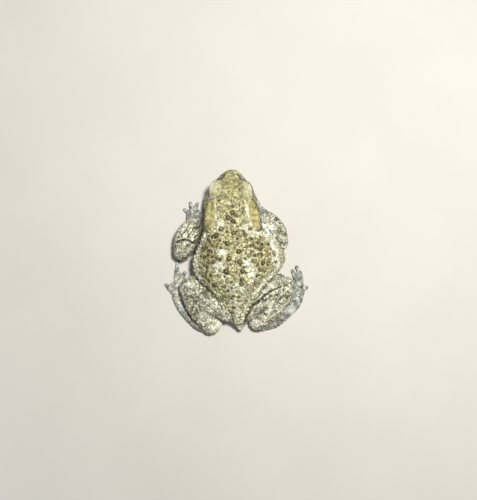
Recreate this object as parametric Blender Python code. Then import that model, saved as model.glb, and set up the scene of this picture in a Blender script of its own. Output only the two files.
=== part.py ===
"""Common toad crouched on the ground, life size, as a still museum model.

The toad faces +Y, its left side is towards -X and it rests on the plane z = 0.
Every size below is in millimetres. The finished meshes are scaled to metres.
Each part of the body is one closed solid, parted from its neighbours by GAP.
"""

import math

import bmesh
import bpy
import numpy as np
from mathutils import Matrix, Vector
from mathutils.bvhtree import BVHTree

METRES = 0.001
GAP = 0.3
FLOOR_BLOCK = 60.0
CAP_ANGLES = (math.radians(35), math.radians(65))
SEED = 7

# Trunk, from nape to rump. One row is a cross-section:
# y, x of its middle, half width, lowest z, z where it is widest, highest z, squareness
TRUNK_ROWS = (
    (27.0, -1.8, 9.5, 7.5, 12.0, 20.4, 2.5),
    (24.0, -1.6, 12.8, 6.2, 11.5, 22.2, 2.9),
    (18.0, -1.7, 14.4, 4.6, 11.5, 23.8, 2.9),
    (11.0, -1.2, 16.0, 0.8, 11.0, 26.0, 2.6),
    (4.0, 0.9, 20.1, -0.6, 10.8, 28.1, 2.3),
    (-2.0, 1.8, 23.6, -0.8, 10.8, 29.2, 2.25),
    (-7.0, 0.7, 23.0, -0.8, 10.8, 29.5, 2.25),
    (-12.0, -0.6, 20.4, -0.8, 10.8, 29.0, 2.25),
    (-17.0, -0.8, 16.8, -0.7, 10.8, 27.2, 2.25),
    (-22.0, -0.3, 13.0, -0.4, 10.8, 24.4, 2.25),
    (-27.0, 0.5, 10.2, 0.6, 10.6, 21.0, 2.25),
    (-32.0, 0.9, 7.2, 2.6, 10.0, 17.4, 2.25),
    (-36.0, 1.6, 4.6, 4.6, 9.2, 14.0, 2.25),
    (-38.6, 2.0, 1.8, 6.6, 8.8, 11.4, 2.25),
)
VENT_PLACE = (2.3, -38.6, 7.6)
VENT_SIZE = (2.0, 2.3, 1.6)

# Head, in its own frame: y runs forward from between the eyes to the snout
HEAD_PLACE = (-2.7, 31.7, 0.0)
HEAD_TURN_DEG = -2.0
HEAD_ROWS = (
    (-15.0, 0.9, 12.8, 5.6, 11.0, 22.6, 2.4),
    (-8.0, 1.0, 14.1, 4.8, 10.8, 22.6, 2.6),
    (-4.0, 0.6, 13.3, 4.9, 10.6, 22.0, 2.7),
    (0.0, 0.0, 11.6, 5.4, 10.6, 21.0, 2.7),
    (4.0, 0.0, 8.9, 6.3, 10.8, 19.6, 2.5),
    (7.5, 0.1, 5.9, 7.5, 11.2, 17.8, 2.3),
    (9.8, 0.4, 3.4, 8.8, 12.0, 16.2, 2.1),
    (10.9, 0.6, 1.4, 10.8, 12.8, 14.8, 2.0),
)
SNOUT_TIP_Y = 11.2
NAPE_Y = -9.0
NAPE_Z = 12.0
NAPE_LEAN_DEG = 14.0
MOUTH_Z = 10.4
MOUTH_CORNER_Y = -8.5
MOUTH_BACK_Y = -20.0
MOUTH_ARCH = 0.9
LIP_RADIUS = 0.75
LIP_INSET = 0.35
LIP_CURVE = 1.7
LIP_STEPS = 8

EYE_PLACE = (7.3, 0.3, 17.1)
EYE_RADIUS = 4.1
LID_PLACE = (7.3, 0.0, 17.5)
LID_SIZE = (4.4, 5.8, 4.9)
EYE_OPENING = (3.3, 2.5)
LID_RIM_SPREAD = 1.14
LID_RIM_RADIUS = 0.42
EYE_AIM_DEG = 14.0
EYE_DEPTH = 0.6
CANTHUS_ROUTE = ((5.8, 3.6, 18.4), (4.0, 6.6, 17.2), (2.4, 9.2, 15.6))
CANTHUS_RADIUS = 1.1
NOSTRIL_PLACE = (2.9, 8.7, 16.3)
NOSTRIL_RADIUS = 0.6
EARDRUM_Y = -6.2
EARDRUM_Z = 14.4
# Eardrum turned about its own axis: radius and height of each ring
EARDRUM_RINGS = ((0.9, 0.10), (1.3, 0.42), (1.7, 0.36), (1.9, -0.5))

# Swollen glands behind the eyes: front end and back end, x, y, z
GLAND_ENDS = {
    "left": ((-12.6, 24.6, 17.8), (-13.9, 12.2, 17.8)),
    "right": ((7.6, 24.8, 18.3), (10.4, 12.8, 18.4)),
}
GLAND_HALF_WIDTH = 3.1
GLAND_HALF_HEIGHT = 2.3
GLAND_ARCH = 1.2
GLAND_END_SHARE = 0.68
GLAND_ROLL_DEG = 34.0

# Limbs. One row is x, y, z, half width and half height of a cross-section
UPPER_ARMS = {
    "left": (
        (-11.0, 14.5, 11.0, 5.0, 5.2),
        (-18.0, 9.3, 7.4, 4.6, 4.3),
        (-25.6, 2.4, 7.8, 4.3, 4.3),
    ),
    "right": (
        (8.5, 15.5, 12.0, 5.0, 5.4),
        (15.4, 12.2, 11.0, 4.9, 5.0),
        (21.6, 7.2, 9.4, 4.3, 4.5),
    ),
}
FOREARMS = {
    "left": (
        (-27.9, 0.6, 9.4, 4.7, 4.6),
        (-26.4, 6.6, 9.8, 5.8, 5.2),
        (-24.6, 12.0, 7.6, 4.9, 4.4),
        (-23.3, 15.6, 4.8, 3.4, 3.0),
    ),
    "right": (
        (22.9, 5.2, 7.8, 4.1, 4.2),
        (21.4, 10.6, 7.4, 4.8, 4.6),
        (19.0, 15.6, 5.8, 3.9, 3.8),
        (15.8, 18.8, 3.9, 3.2, 2.7),
    ),
}
# Hand: palm from wrist to knuckles, then the tip of each finger, inner first
HANDS = {
    "left": {
        "palm": ((-23.1, 16.0, 3.6, 3.0, 2.4), (-22.6, 19.4, 1.9, 3.9, 1.9)),
        "tips": ((-18.2, 22.2), (-20.6, 26.0), (-24.4, 26.2), (-27.4, 22.6)),
    },
    "right": {
        "palm": ((15.4, 19.2, 2.9, 2.9, 2.1), (12.2, 21.0, 1.8, 3.6, 1.8)),
        "tips": ((6.6, 21.4), (5.4, 24.8), (7.8, 27.4), (11.6, 26.4)),
    },
}
FINGER_ROOT_RADIUS = 1.35
FINGER_TIP_RADIUS = 0.85
FINGER_ROOT_SHARE = 0.18
FINGER_MIDDLE_SHARE = 0.62
FINGER_LIFT = 0.5

THIGHS = {
    "left": (
        (-4.0, -30.0, 9.6, 6.0, 6.2),
        (-13.6, -24.8, 10.8, 6.6, 6.6),
        (-22.9, -17.9, 10.8, 5.8, 5.8),
    ),
    "right": (
        (5.6, -30.0, 9.6, 5.6, 6.0),
        (14.0, -22.8, 10.8, 5.6, 6.2),
        (21.6, -15.8, 11.0, 4.6, 5.2),
    ),
}
SHANKS = {
    "left": (
        (-25.0, -18.6, 9.4, 4.6, 5.0),
        (-20.4, -28.0, 8.6, 5.6, 5.2),
        (-13.4, -38.0, 5.8, 4.6, 4.2),
    ),
    "right": (
        (26.0, -17.8, 9.2, 4.4, 4.8),
        (19.4, -27.4, 8.6, 6.0, 5.2),
        (11.2, -36.2, 5.8, 4.8, 4.2),
    ),
}
ANKLES = {
    "left": (
        (-14.6, -39.4, 3.4, 2.8, 2.8),
        (-19.0, -38.6, 2.9, 2.4, 2.4),
        (-24.2, -34.4, 2.5, 2.3, 2.2),
    ),
    "right": (
        (13.4, -38.0, 3.4, 2.8, 2.8),
        (20.0, -36.8, 3.0, 2.5, 2.5),
        (26.4, -32.0, 2.6, 2.5, 2.3),
    ),
}
# Foot: sole from ankle to toes, then each toe's middle and tip, inner first
FEET = {
    "left": {
        "sole": (
            (-24.8, -33.8, 2.3, 2.3, 2.1),
            (-28.4, -28.6, 2.0, 2.8, 1.9),
            (-30.6, -22.8, 1.6, 3.4, 1.6),
        ),
        "toes": (
            ((-26.6, -22.4), (-24.6, -21.0)),
            ((-27.2, -18.4), (-25.0, -15.2)),
            ((-29.6, -15.6), (-27.2, -10.6)),
            ((-31.6, -13.2), (-31.0, -4.8)),
            ((-34.4, -19.6), (-37.0, -17.0)),
        ),
    },
    "right": {
        "sole": (
            (27.0, -31.4, 2.3, 2.5, 2.1),
            (31.0, -26.6, 2.0, 3.0, 1.9),
            (32.6, -20.8, 1.6, 3.4, 1.6),
        ),
        "toes": (
            ((28.4, -20.6), (26.6, -18.8)),
            ((28.8, -16.6), (27.2, -13.6)),
            ((31.2, -13.6), (29.6, -9.6)),
            ((34.0, -12.8), (31.8, -7.6)),
            ((35.6, -19.0), (37.0, -18.4)),
        ),
    },
}
TOE_ROOT_RADIUS = 1.6
TOE_TIP_RADIUS = 0.95
TOE_ROOT_SHARE = 0.25
TOE_LIFT = 0.36
# Webs, inner pair of toes first: how far out from middle to tip the free edge starts on each
# of the two toes, and how far it dips back towards the foot
WEB_EDGES = ((0.8, 0.3, 0.2), (0.85, 0.35, 0.2), (0.95, 0.65, 0.1), (0.0, 0.95, 0.12))
WEB_HEIGHT = 1.2
WEB_HALF_THICKNESS = 0.65
DIGIT_VOXEL = 0.4
DIGIT_PASSES = 3

# Round dark-ringed warts of the back: x, y and radius
BACK_WARTS = (
    (-8.6, 22.0, 1.1), (-1.9, 20.0, 1.3), (-4.2, 17.2, 1.2), (-1.4, 15.5, 1.2), (-7.7, 11.7, 1.2),
    (-10.2, 8.3, 1.2), (-1.4, 9.5, 1.2), (4.5, 8.6, 1.1), (7.0, 11.7, 1.1), (-4.5, 4.2, 1.2),
    (1.1, 0.2, 1.3), (-3.6, -3.3, 1.3), (1.7, -5.2, 1.2), (6.7, -1.8, 1.2), (9.1, -4.8, 1.1),
    (13.4, -5.8, 1.2), (16.2, -5.8, 1.2), (14.2, -9.2, 1.2), (-5.1, -9.9, 1.5), (3.0, -9.9, 1.2),
    (2.7, -14.8, 1.3), (9.8, -15.8, 1.1), (-4.5, -14.6, 1.1), (-11.5, -4.9, 1.2), (19.2, -0.8, 1.2),
    (-16.5, 1.4, 1.1),
)
WART_HEIGHT_SHARE = 0.62
WART_SUNK_SHARE = 0.12
WART_SIDES = 6

# Rows of pale warts along each flank: height above the floor and spacing
FLANK_ROWS = ((18.5, 4.6), (15.5, 3.4), (12.0, 4.0))
FLANK_Y_RANGE = (-13.0, 12.0)
FLANK_WART_RADIUS = (0.8, 1.25)

# Smaller warts strewn between the large ones of the back
SMALL_WARTS = 34
SMALL_WART_RADIUS = (0.6, 0.85)
SMALL_WART_AREA = ((-17.0, -22.0), (20.0, 20.0))
CLEAR_OF_LIMBS = 1.6
CLEAR_OF_WARTS = 1.0

# Fineness of the meshes: voxel size, smoothing passes and triangles kept
VOXEL = 0.55
SMOOTH_PASSES = 10
HEAD_TRIANGLES = 5400
TRUNK_TRIANGLES = 2700
LIMB_TRIANGLES = 340
ANKLE_TRIANGLES = 200
HAND_TRIANGLES = 520
FOOT_TRIANGLES = 640

SKIN_COLOUR = (0.47, 0.43, 0.26)
PALE_COLOUR = (0.56, 0.52, 0.33)
GLAND_COLOUR = (0.50, 0.42, 0.24)
LIMB_COLOUR = (0.44, 0.43, 0.33)
BELLY_COLOUR = (0.58, 0.55, 0.44)
IRIS_COLOUR = (0.40, 0.17, 0.04)


def clear_scene():
    for existing in list(bpy.data.objects):
        bpy.data.objects.remove(existing)


def new_object(name, vertices, faces):
    mesh = bpy.data.meshes.new(name)
    mesh.from_pydata([tuple(v) for v in vertices], [], faces)
    mesh.update()
    made = bpy.data.objects.new(name, mesh)
    bpy.context.scene.collection.objects.link(made)
    return made


def face_outward(made):
    bm = bmesh.new()
    bm.from_mesh(made.data)
    bmesh.ops.recalc_face_normals(bm, faces=bm.faces)
    if bm.calc_volume(signed=True) < 0:
        bmesh.ops.reverse_faces(bm, faces=bm.faces)
    bm.to_mesh(made.data)
    bm.free()
    return made


def remove(made):
    bpy.data.objects.remove(made)


def copy_of(made):
    twin = made.copy()
    twin.data = made.data.copy()
    bpy.context.scene.collection.objects.link(twin)
    return twin


def apply_modifiers(made):
    depsgraph = bpy.context.evaluated_depsgraph_get()
    finished = bpy.data.meshes.new_from_object(made.evaluated_get(depsgraph))
    made.modifiers.clear()
    made.data = finished
    return made


def smooth_rows(places, rows, count):
    """Rows read at even steps from a smooth curve through the given rows."""
    places = np.asarray(places, float)
    rows = np.asarray(rows, float)
    slopes = np.gradient(rows, places, axis=0)
    wanted = np.linspace(places[0], places[-1], count)
    first = np.clip(np.searchsorted(places, wanted, side="right") - 1, 0, len(places) - 2)
    width = (places[first + 1] - places[first])[:, None]
    s = (wanted - places[first])[:, None] / width
    start = rows[first] * (2 * s**3 - 3 * s**2 + 1) + slopes[first] * width * (s**3 - 2 * s**2 + s)
    end = rows[first + 1] * (3 * s**2 - 2 * s**3) + slopes[first + 1] * width * (s**3 - s**2)
    return start + end


def closed_rings(name, rings, front, back):
    """One closed surface from rings of equal length and a point at each end."""
    count, sides = rings.shape[0], rings.shape[1]
    vertices = np.concatenate([rings.reshape(-1, 3), [front], [back]])
    faces = []
    for ring in range(count - 1):
        for side in range(sides):
            following = (side + 1) % sides
            a = ring * sides + side
            b = ring * sides + following
            faces.append((a, b, b + sides, a + sides))
    for side in range(sides):
        following = (side + 1) % sides
        faces.append((count * sides, following, side))
        last = (count - 1) * sides
        faces.append((count * sides + 1, last + side, last + following))
    return face_outward(new_object(name, vertices, faces))


def closed_loop(name, rings):
    """A ring-shaped surface: the last ring joins the first."""
    count, sides = rings.shape[0], rings.shape[1]
    faces = []
    for ring in range(count):
        following_ring = (ring + 1) % count
        for side in range(sides):
            following = (side + 1) % sides
            faces.append(
                (
                    ring * sides + side,
                    ring * sides + following,
                    following_ring * sides + following,
                    following_ring * sides + side,
                )
            )
    return face_outward(new_object(name, rings.reshape(-1, 3), faces))


def trunk_form(name, rows, sides=56, count=44):
    """Upright cross-sections with a flatter underside, one behind another."""
    table = np.array(sorted(rows, key=lambda row: row[0]), float)
    y, x, half, low, wide, high, squareness = smooth_rows(table[:, 0], table, count).T
    turn = np.linspace(0, 2 * math.pi, sides, endpoint=False)
    power = 2 / squareness[:, None]
    cosine = np.sign(np.cos(turn)) * np.abs(np.cos(turn)) ** power
    sine = np.sign(np.sin(turn)) * np.abs(np.sin(turn)) ** power
    rings = np.empty((count, sides, 3))
    rings[:, :, 0] = x[:, None] + half[:, None] * cosine
    rings[:, :, 1] = y[:, None]
    reach = np.where(sine > 0, (high - wide)[:, None], (wide - low)[:, None])
    rings[:, :, 2] = wide[:, None] + reach * sine
    front = (x[0], y[0], wide[0])
    back = (x[-1], y[-1], wide[-1])
    return closed_rings(name, rings, front, back)


def tube_form(name, rows, sides=14, spacing=1.5, roll_deg=0.0):
    """Round-ended tube through rows of x, y, z, half width and half height."""
    table = np.array(rows, float)
    steps = np.linalg.norm(np.diff(table[:, :3], axis=0), axis=1)
    along_route = np.concatenate([[0.0], np.cumsum(steps)])
    count = max(4, int(along_route[-1] / spacing) + 1)
    even = smooth_rows(along_route, table, count)
    centre, half = even[:, :3], even[:, 3:5]
    forward = np.gradient(centre, axis=0)
    forward /= np.linalg.norm(forward, axis=1)[:, None]
    first, last = centre[0], centre[-1]
    first_reach, last_reach = half[0].mean(), half[-1].mean()
    first_half, last_half = half[:1], half[-1:]
    for angle in CAP_ANGLES:
        reach, share = math.sin(angle), math.cos(angle)
        before = first - forward[0] * first_reach * reach
        after = last + forward[-1] * last_reach * reach
        centre = np.concatenate([[before], centre, [after]])
        half = np.concatenate([first_half * share, half, last_half * share])
        forward = np.concatenate([forward[:1], forward, forward[-1:]])
    front_pole = first - forward[0] * first_reach
    back_pole = last + forward[-1] * last_reach
    across = np.cross(forward, (0.0, 0.0, 1.0))
    across /= np.linalg.norm(across, axis=1)[:, None]
    rise = np.cross(across, forward)
    roll = math.radians(roll_deg)
    tilted = across * math.cos(roll) + rise * math.sin(roll)
    rise = rise * math.cos(roll) - across * math.sin(roll)
    turn = np.linspace(0, 2 * math.pi, sides, endpoint=False)[None, :, None]
    rings = centre[:, None, :] + tilted[:, None, :] * np.cos(turn) * half[:, 0, None, None]
    rings = rings + rise[:, None, :] * np.sin(turn) * half[:, 1, None, None]
    return closed_rings(name, rings, front_pole, back_pole)


def ball(name, centre, size, rings=12, sides=18):
    bm = bmesh.new()
    bmesh.ops.create_uvsphere(bm, u_segments=sides, v_segments=rings, radius=1.0)
    bmesh.ops.scale(bm, vec=Vector(size), verts=bm.verts)
    bmesh.ops.translate(bm, vec=Vector(centre), verts=bm.verts)
    made = new_object(name, [], [])
    bm.to_mesh(made.data)
    bm.free()
    return made


def block(name, low, high):
    bm = bmesh.new()
    bmesh.ops.create_cube(bm, size=1.0)
    low, high = Vector(low), Vector(high)
    bmesh.ops.scale(bm, vec=high - low, verts=bm.verts)
    bmesh.ops.translate(bm, vec=(low + high) / 2, verts=bm.verts)
    made = new_object(name, [], [])
    bm.to_mesh(made.data)
    bm.free()
    return made


def mirrored(place, side):
    """The same place on the other side of the head where side is -1."""
    x, y, z = place
    return (side * x, y, z)


def head_matrix():
    turn = Matrix.Rotation(math.radians(HEAD_TURN_DEG), 4, "Z")
    return Matrix.Translation(HEAD_PLACE) @ turn


def place_on_head(made):
    """Moves a form from the head's own frame to its place on the toad."""
    made.data.transform(head_matrix())
    made.data.update()
    return made


def join(name, forms):
    """Several closed forms as one mesh, still overlapping."""
    bm = bmesh.new()
    for form in forms:
        bm.from_mesh(form.data)
        remove(form)
    made = new_object(name, [], [])
    bm.to_mesh(made.data)
    bm.free()
    return made


def blend(made, voxel=VOXEL, passes=SMOOTH_PASSES):
    """Overlapping forms run together into one soft skin."""
    remesh = made.modifiers.new("skin", "REMESH")
    remesh.mode = "VOXEL"
    remesh.voxel_size = voxel
    smooth = made.modifiers.new("soften", "SMOOTH")
    smooth.iterations = passes
    smooth.factor = 0.5
    return apply_modifiers(made)


def thin_out(made, triangles):
    """Fewer triangles, kept where the form curves most."""
    count = sum(len(face.vertices) - 2 for face in made.data.polygons)
    decimate = made.modifiers.new("thin", "DECIMATE")
    decimate.ratio = min(1.0, triangles / count)
    return apply_modifiers(made)


def boolean(made, others, operation):
    """One Boolean against a collection, which goes away afterwards."""
    group = bpy.data.collections.new("operands")
    bpy.context.scene.collection.children.link(group)
    for other in others:
        other.hide_render = True
        other.display_type = "WIRE"
        bpy.context.scene.collection.objects.unlink(other)
        group.objects.link(other)
    step = made.modifiers.new("boolean", "BOOLEAN")
    step.operation = operation
    step.solver = "EXACT"
    step.operand_type = "COLLECTION"
    step.collection = group
    apply_modifiers(made)
    for other in list(group.objects):
        remove(other)
    bpy.data.collections.remove(group)
    return made


def grown(made, distance=GAP):
    """A copy whose surface stands the gap outside the original."""
    twin = copy_of(made)
    normals = np.empty(len(twin.data.vertices) * 3)
    twin.data.vertex_normals.foreach_get("vector", normals)
    places = np.empty(len(twin.data.vertices) * 3)
    twin.data.vertices.foreach_get("co", places)
    twin.data.vertices.foreach_set("co", places + normals * distance)
    twin.data.update()
    return twin


def keep_largest(made):
    """Drops loose scraps and inner hollows, leaving the largest surface."""
    bm = bmesh.new()
    bm.from_mesh(made.data)
    unseen = set(bm.faces)
    islands = []
    while unseen:
        stack = [unseen.pop()]
        island = list(stack)
        while stack:
            for edge in stack.pop().edges:
                for neighbour in edge.link_faces:
                    if neighbour in unseen:
                        unseen.discard(neighbour)
                        stack.append(neighbour)
                        island.append(neighbour)
        islands.append(island)
    islands.sort(key=lambda island: sum(face.calc_area() for face in island))
    for island in islands[:-1]:
        bmesh.ops.delete(bm, geom=island, context="FACES")
    bmesh.ops.triangulate(bm, faces=bm.faces)
    bm.to_mesh(made.data)
    bm.free()
    return made


def floor_block():
    return block("floor", (-FLOOR_BLOCK, -FLOOR_BLOCK, -10.0), (FLOOR_BLOCK, FLOOR_BLOCK, 0.0))


def carve(made, neighbours):
    """Cuts away the floor and what each neighbour fills, with its gap."""
    boolean(made, [floor_block()] + [grown(other) for other in neighbours], "DIFFERENCE")
    return keep_largest(made)


def mouth_height(y):
    """Height of the line of the mouth, which rises towards the snout."""
    towards_snout = max(0.0, (y - MOUTH_CORNER_Y) / (SNOUT_TIP_Y - MOUTH_CORNER_Y))
    return MOUTH_Z + MOUTH_ARCH * towards_snout**2


def mouth_block(distance):
    """The room of the lower jaw: all below the line of the mouth."""
    sides, count = 5, 15
    across = np.linspace(-20.0, 20.0, count)
    back, front = MOUTH_BACK_Y, SNOUT_TIP_Y + 6.0
    ahead = np.linspace(back, front, sides)
    vertices = []
    faces = []
    for x in across:
        for y in ahead:
            vertices.append((x, y, mouth_height(y) + distance))
    for x in across:
        for y in ahead:
            vertices.append((x, y, -6.0))
    shift = count * sides
    for i in range(count - 1):
        for j in range(sides - 1):
            a = i * sides + j
            faces.append((a, a + sides, a + sides + 1, a + 1))
            faces.append((a + shift, a + shift + 1, a + shift + sides + 1, a + shift + sides))
    for i in range(count - 1):
        for j in (0, sides - 1):
            a = i * sides + j
            faces.append((a, a + sides, a + sides + shift, a + shift))
    for i in (0, count - 1):
        for j in range(sides - 1):
            a = i * sides + j
            faces.append((a, a + 1, a + 1 + shift, a + shift))
    return place_on_head(face_outward(new_object("mouth", vertices, faces)))


def nape_block(distance):
    """All that lies ahead of the sloping cut between head and trunk."""
    made = block("nape", (-40.0, 0.0, -20.0), (40.0, 60.0, 60.0))
    lean = Matrix.Rotation(math.radians(NAPE_LEAN_DEG), 4, "X")
    made.data.transform(Matrix.Translation((0.0, NAPE_Y - distance, NAPE_Z)) @ lean)
    made.data.update()
    return place_on_head(made)


def lip_form():
    """Bead that follows the edge of the jaws from corner to corner."""
    rows = []
    table = np.array(sorted(HEAD_ROWS), float)
    for step in range(-LIP_STEPS, LIP_STEPS + 1):
        share = step / LIP_STEPS
        y = SNOUT_TIP_Y - (SNOUT_TIP_Y - MOUTH_CORNER_Y) * abs(share) ** LIP_CURVE
        half = np.interp(y, table[:, 0], table[:, 2])
        x = math.copysign(max(half - LIP_INSET, 0.0), share) if step else 0.0
        y = min(y, SNOUT_TIP_Y - LIP_RADIUS * 0.8)
        rows.append((x, y, mouth_height(y), LIP_RADIUS, LIP_RADIUS))
    return place_on_head(tube_form("lips", rows, sides=8, spacing=1.0))


def whole_trunk():
    """Head, trunk, lids and vent as one soft skin, before any cut."""
    forms = [trunk_form("trunk", TRUNK_ROWS)]
    forms.append(ball("vent", VENT_PLACE, VENT_SIZE))
    forms.append(place_on_head(trunk_form("skull", HEAD_ROWS)))
    forms.append(lip_form())
    for side in (-1, 1):
        forms.append(place_on_head(ball("lid", mirrored(LID_PLACE, side), LID_SIZE)))
        ridge = [mirrored(place, side) + (CANTHUS_RADIUS,) * 2 for place in CANTHUS_ROUTE]
        forms.append(place_on_head(tube_form("canthus", ridge, sides=8)))
    return blend(join("whole", forms))


def eye_form(side):
    size = (EYE_RADIUS,) * 3
    return place_on_head(ball("eye", mirrored(EYE_PLACE, side), size, rings=10, sides=16))


def place_at_eye(made, side):
    """Moves a form that looks along +X to the eye on the given side."""
    aim = Matrix.Rotation(math.radians(EYE_AIM_DEG), 4, "Z")
    made.data.transform(Matrix.Translation(EYE_PLACE) @ aim)
    if side < 0:
        made.data.transform(Matrix.Scale(-1, 4, Vector((1, 0, 0))))
    return place_on_head(face_outward(made))


def eye_opening(side):
    """Almond-shaped way from the lid's outside to the middle of the eye."""
    count = 20
    turn = np.linspace(0, 2 * math.pi, count, endpoint=False)
    length, height = EYE_OPENING
    reach = 7.0
    rings = np.empty((2, count, 3))
    for ring, (outward, spread) in enumerate(((EYE_DEPTH, 0.85), (reach, 1.25))):
        rings[ring, :, 0] = outward
        rings[ring, :, 1] = spread * length * np.cos(turn)
        rings[ring, :, 2] = spread * height * np.sin(turn)
    made = closed_rings("opening", rings, (EYE_DEPTH, 0, 0), (reach, 0, 0))
    return place_at_eye(made, side)


def lid_rim(side):
    """Bead round the edge of the lids, lying on the eye."""
    length, height = EYE_OPENING
    distance = EYE_RADIUS + LID_RIM_RADIUS * 0.8
    turn = np.linspace(0, 2 * math.pi, 18, endpoint=False)
    along = LID_RIM_SPREAD * length * np.cos(turn)
    up = LID_RIM_SPREAD * height * np.sin(turn)
    out = np.sqrt(distance**2 - along**2 - up**2)
    centre = np.stack([out, along, up], axis=1)
    outward = centre / distance
    forward = np.roll(centre, -1, axis=0) - np.roll(centre, 1, axis=0)
    forward /= np.linalg.norm(forward, axis=1)[:, None]
    across = np.cross(forward, outward)
    around = np.linspace(0, 2 * math.pi, 6, endpoint=False)[None, :, None]
    rings = centre[:, None, :] + LID_RIM_RADIUS * (
        across[:, None, :] * np.cos(around) + outward[:, None, :] * np.sin(around)
    )
    return place_at_eye(closed_loop("rim", rings), side)


def eardrum(skull, side):
    """Small dished disc with a raised rim, sunk in the cheek behind the eye."""
    count = 12
    turn = np.linspace(0, 2 * math.pi, count, endpoint=False)
    rings = np.empty((len(EARDRUM_RINGS), count, 3))
    for ring, (radius, height) in zip(rings, EARDRUM_RINGS):
        ring[:, 0] = radius * np.cos(turn)
        ring[:, 1] = radius * np.sin(turn)
        ring[:, 2] = height
    made = closed_rings("eardrum", rings, (0, 0, 0), (0, 0, EARDRUM_RINGS[-1][1]))
    to_head = head_matrix()
    start = to_head @ Vector((side * 30.0, EARDRUM_Y, EARDRUM_Z))
    inward = to_head.to_3x3() @ Vector((-side, 0, 0))
    place, normal, _, _ = tree_of(skull).ray_cast(start, inward)
    turn = normal.to_track_quat("Z", "Y").to_matrix().to_4x4()
    made.data.transform(Matrix.Translation(place) @ turn)
    return made


def nostril(side):
    size = (NOSTRIL_RADIUS, NOSTRIL_RADIUS * 1.5, NOSTRIL_RADIUS)
    return place_on_head(ball("nostril", mirrored(NOSTRIL_PLACE, side), size, rings=6, sides=8))


def gland_form(side_name):
    (x0, y0, z0), (x1, y1, z1) = GLAND_ENDS[side_name]
    rows = (
        (x0, y0, z0, GLAND_HALF_WIDTH * GLAND_END_SHARE, GLAND_HALF_HEIGHT * GLAND_END_SHARE),
        ((x0 + x1) / 2, (y0 + y1) / 2, (z0 + z1) / 2 + GLAND_ARCH, GLAND_HALF_WIDTH, GLAND_HALF_HEIGHT),
        (x1, y1, z1, GLAND_HALF_WIDTH * GLAND_END_SHARE, GLAND_HALF_HEIGHT * GLAND_END_SHARE),
    )
    roll = GLAND_ROLL_DEG if side_name == "left" else -GLAND_ROLL_DEG
    return tube_form("gland", rows, sides=12, spacing=2.2, roll_deg=roll)


def digit(name, start, middle, tip, root_radius, tip_radius, lift=0.0):
    """Finger or toe that arches from the knuckle and tapers to its tip."""
    rows = (
        start + (root_radius, root_radius),
        (middle[0], middle[1], tip_radius + lift, root_radius * 0.85, root_radius * 0.8),
        (tip[0], tip[1], tip_radius * 0.8, tip_radius, tip_radius),
    )
    return tube_form(name, rows, sides=8, spacing=2.0)


def hand_form(side_name):
    hand = HANDS[side_name]
    forms = [tube_form("palm", hand["palm"], sides=12)]
    knuckles = np.array(hand["palm"][1][:3])
    for tip in hand["tips"]:
        reach = np.array(tip + (FINGER_TIP_RADIUS,)) - knuckles
        start = tuple(knuckles + reach * FINGER_ROOT_SHARE)
        middle = tuple((knuckles + reach * FINGER_MIDDLE_SHARE)[:2])
        forms.append(
            digit("finger", start, middle, tip, FINGER_ROOT_RADIUS, FINGER_TIP_RADIUS, FINGER_LIFT)
        )
    return blend(join("hand", forms), voxel=DIGIT_VOXEL, passes=DIGIT_PASSES)


def foot_form(side_name):
    foot = FEET[side_name]
    forms = [tube_form("sole", foot["sole"], sides=12)]
    ball_of_foot = np.array(foot["sole"][-1][:3])
    for middle, tip in foot["toes"]:
        reach = np.array(middle + (TOE_ROOT_RADIUS,)) - ball_of_foot
        start = tuple(ball_of_foot + reach * TOE_ROOT_SHARE)
        forms.append(digit("toe", start, middle, tip, TOE_ROOT_RADIUS, TOE_TIP_RADIUS, TOE_LIFT))
    toes = np.array(foot["toes"])
    for inner, outer, (inner_share, outer_share, notch) in zip(toes, toes[1:], WEB_EDGES):
        first = inner[0] + (inner[1] - inner[0]) * inner_share
        second = outer[0] + (outer[1] - outer[0]) * outer_share
        forms.append(web_form(ball_of_foot[:2], first, second, notch))
    return blend(join("foot", forms), voxel=DIGIT_VOXEL, passes=DIGIT_PASSES)


def web_form(root, first, second, notch_share):
    """Web between two toes, with its free edge drawn in towards the foot."""
    notch = (first + second) / 2 * (1 - notch_share) + root * notch_share
    corners = np.array([root, first, notch, second])
    low = WEB_HEIGHT - WEB_HALF_THICKNESS
    high = WEB_HEIGHT + WEB_HALF_THICKNESS
    vertices = [(x, y, high) for x, y in corners] + [(x, y, low) for x, y in corners]
    faces = [(0, 1, 2), (0, 2, 3), (6, 5, 4), (7, 6, 4)]
    faces += [(a, a + 4, (a + 1) % 4 + 4, (a + 1) % 4) for a in range(4)]
    return face_outward(new_object("web", vertices, faces))


def limb_form(name, rows, triangles=LIMB_TRIANGLES):
    return thin_out(blend(tube_form(name, rows, sides=16)), triangles)


def wart(place, normal, radius):
    """Low dome whose root is sunk in the skin."""
    bm = bmesh.new()
    bmesh.ops.create_uvsphere(bm, u_segments=WART_SIDES, v_segments=4, radius=radius)
    bmesh.ops.scale(bm, vec=Vector((1, 1, WART_HEIGHT_SHARE)), verts=bm.verts)
    turn = normal.to_track_quat("Z", "Y").to_matrix().to_4x4()
    sunk = Matrix.Translation(place - normal * radius * WART_SUNK_SHARE)
    bmesh.ops.transform(bm, matrix=sunk @ turn, verts=bm.verts)
    made = new_object("wart", [], [])
    bm.to_mesh(made.data)
    bm.free()
    return made


def tree_of(made):
    bm = bmesh.new()
    bm.from_mesh(made.data)
    tree = BVHTree.FromBMesh(bm)
    bm.free()
    return tree


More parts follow.
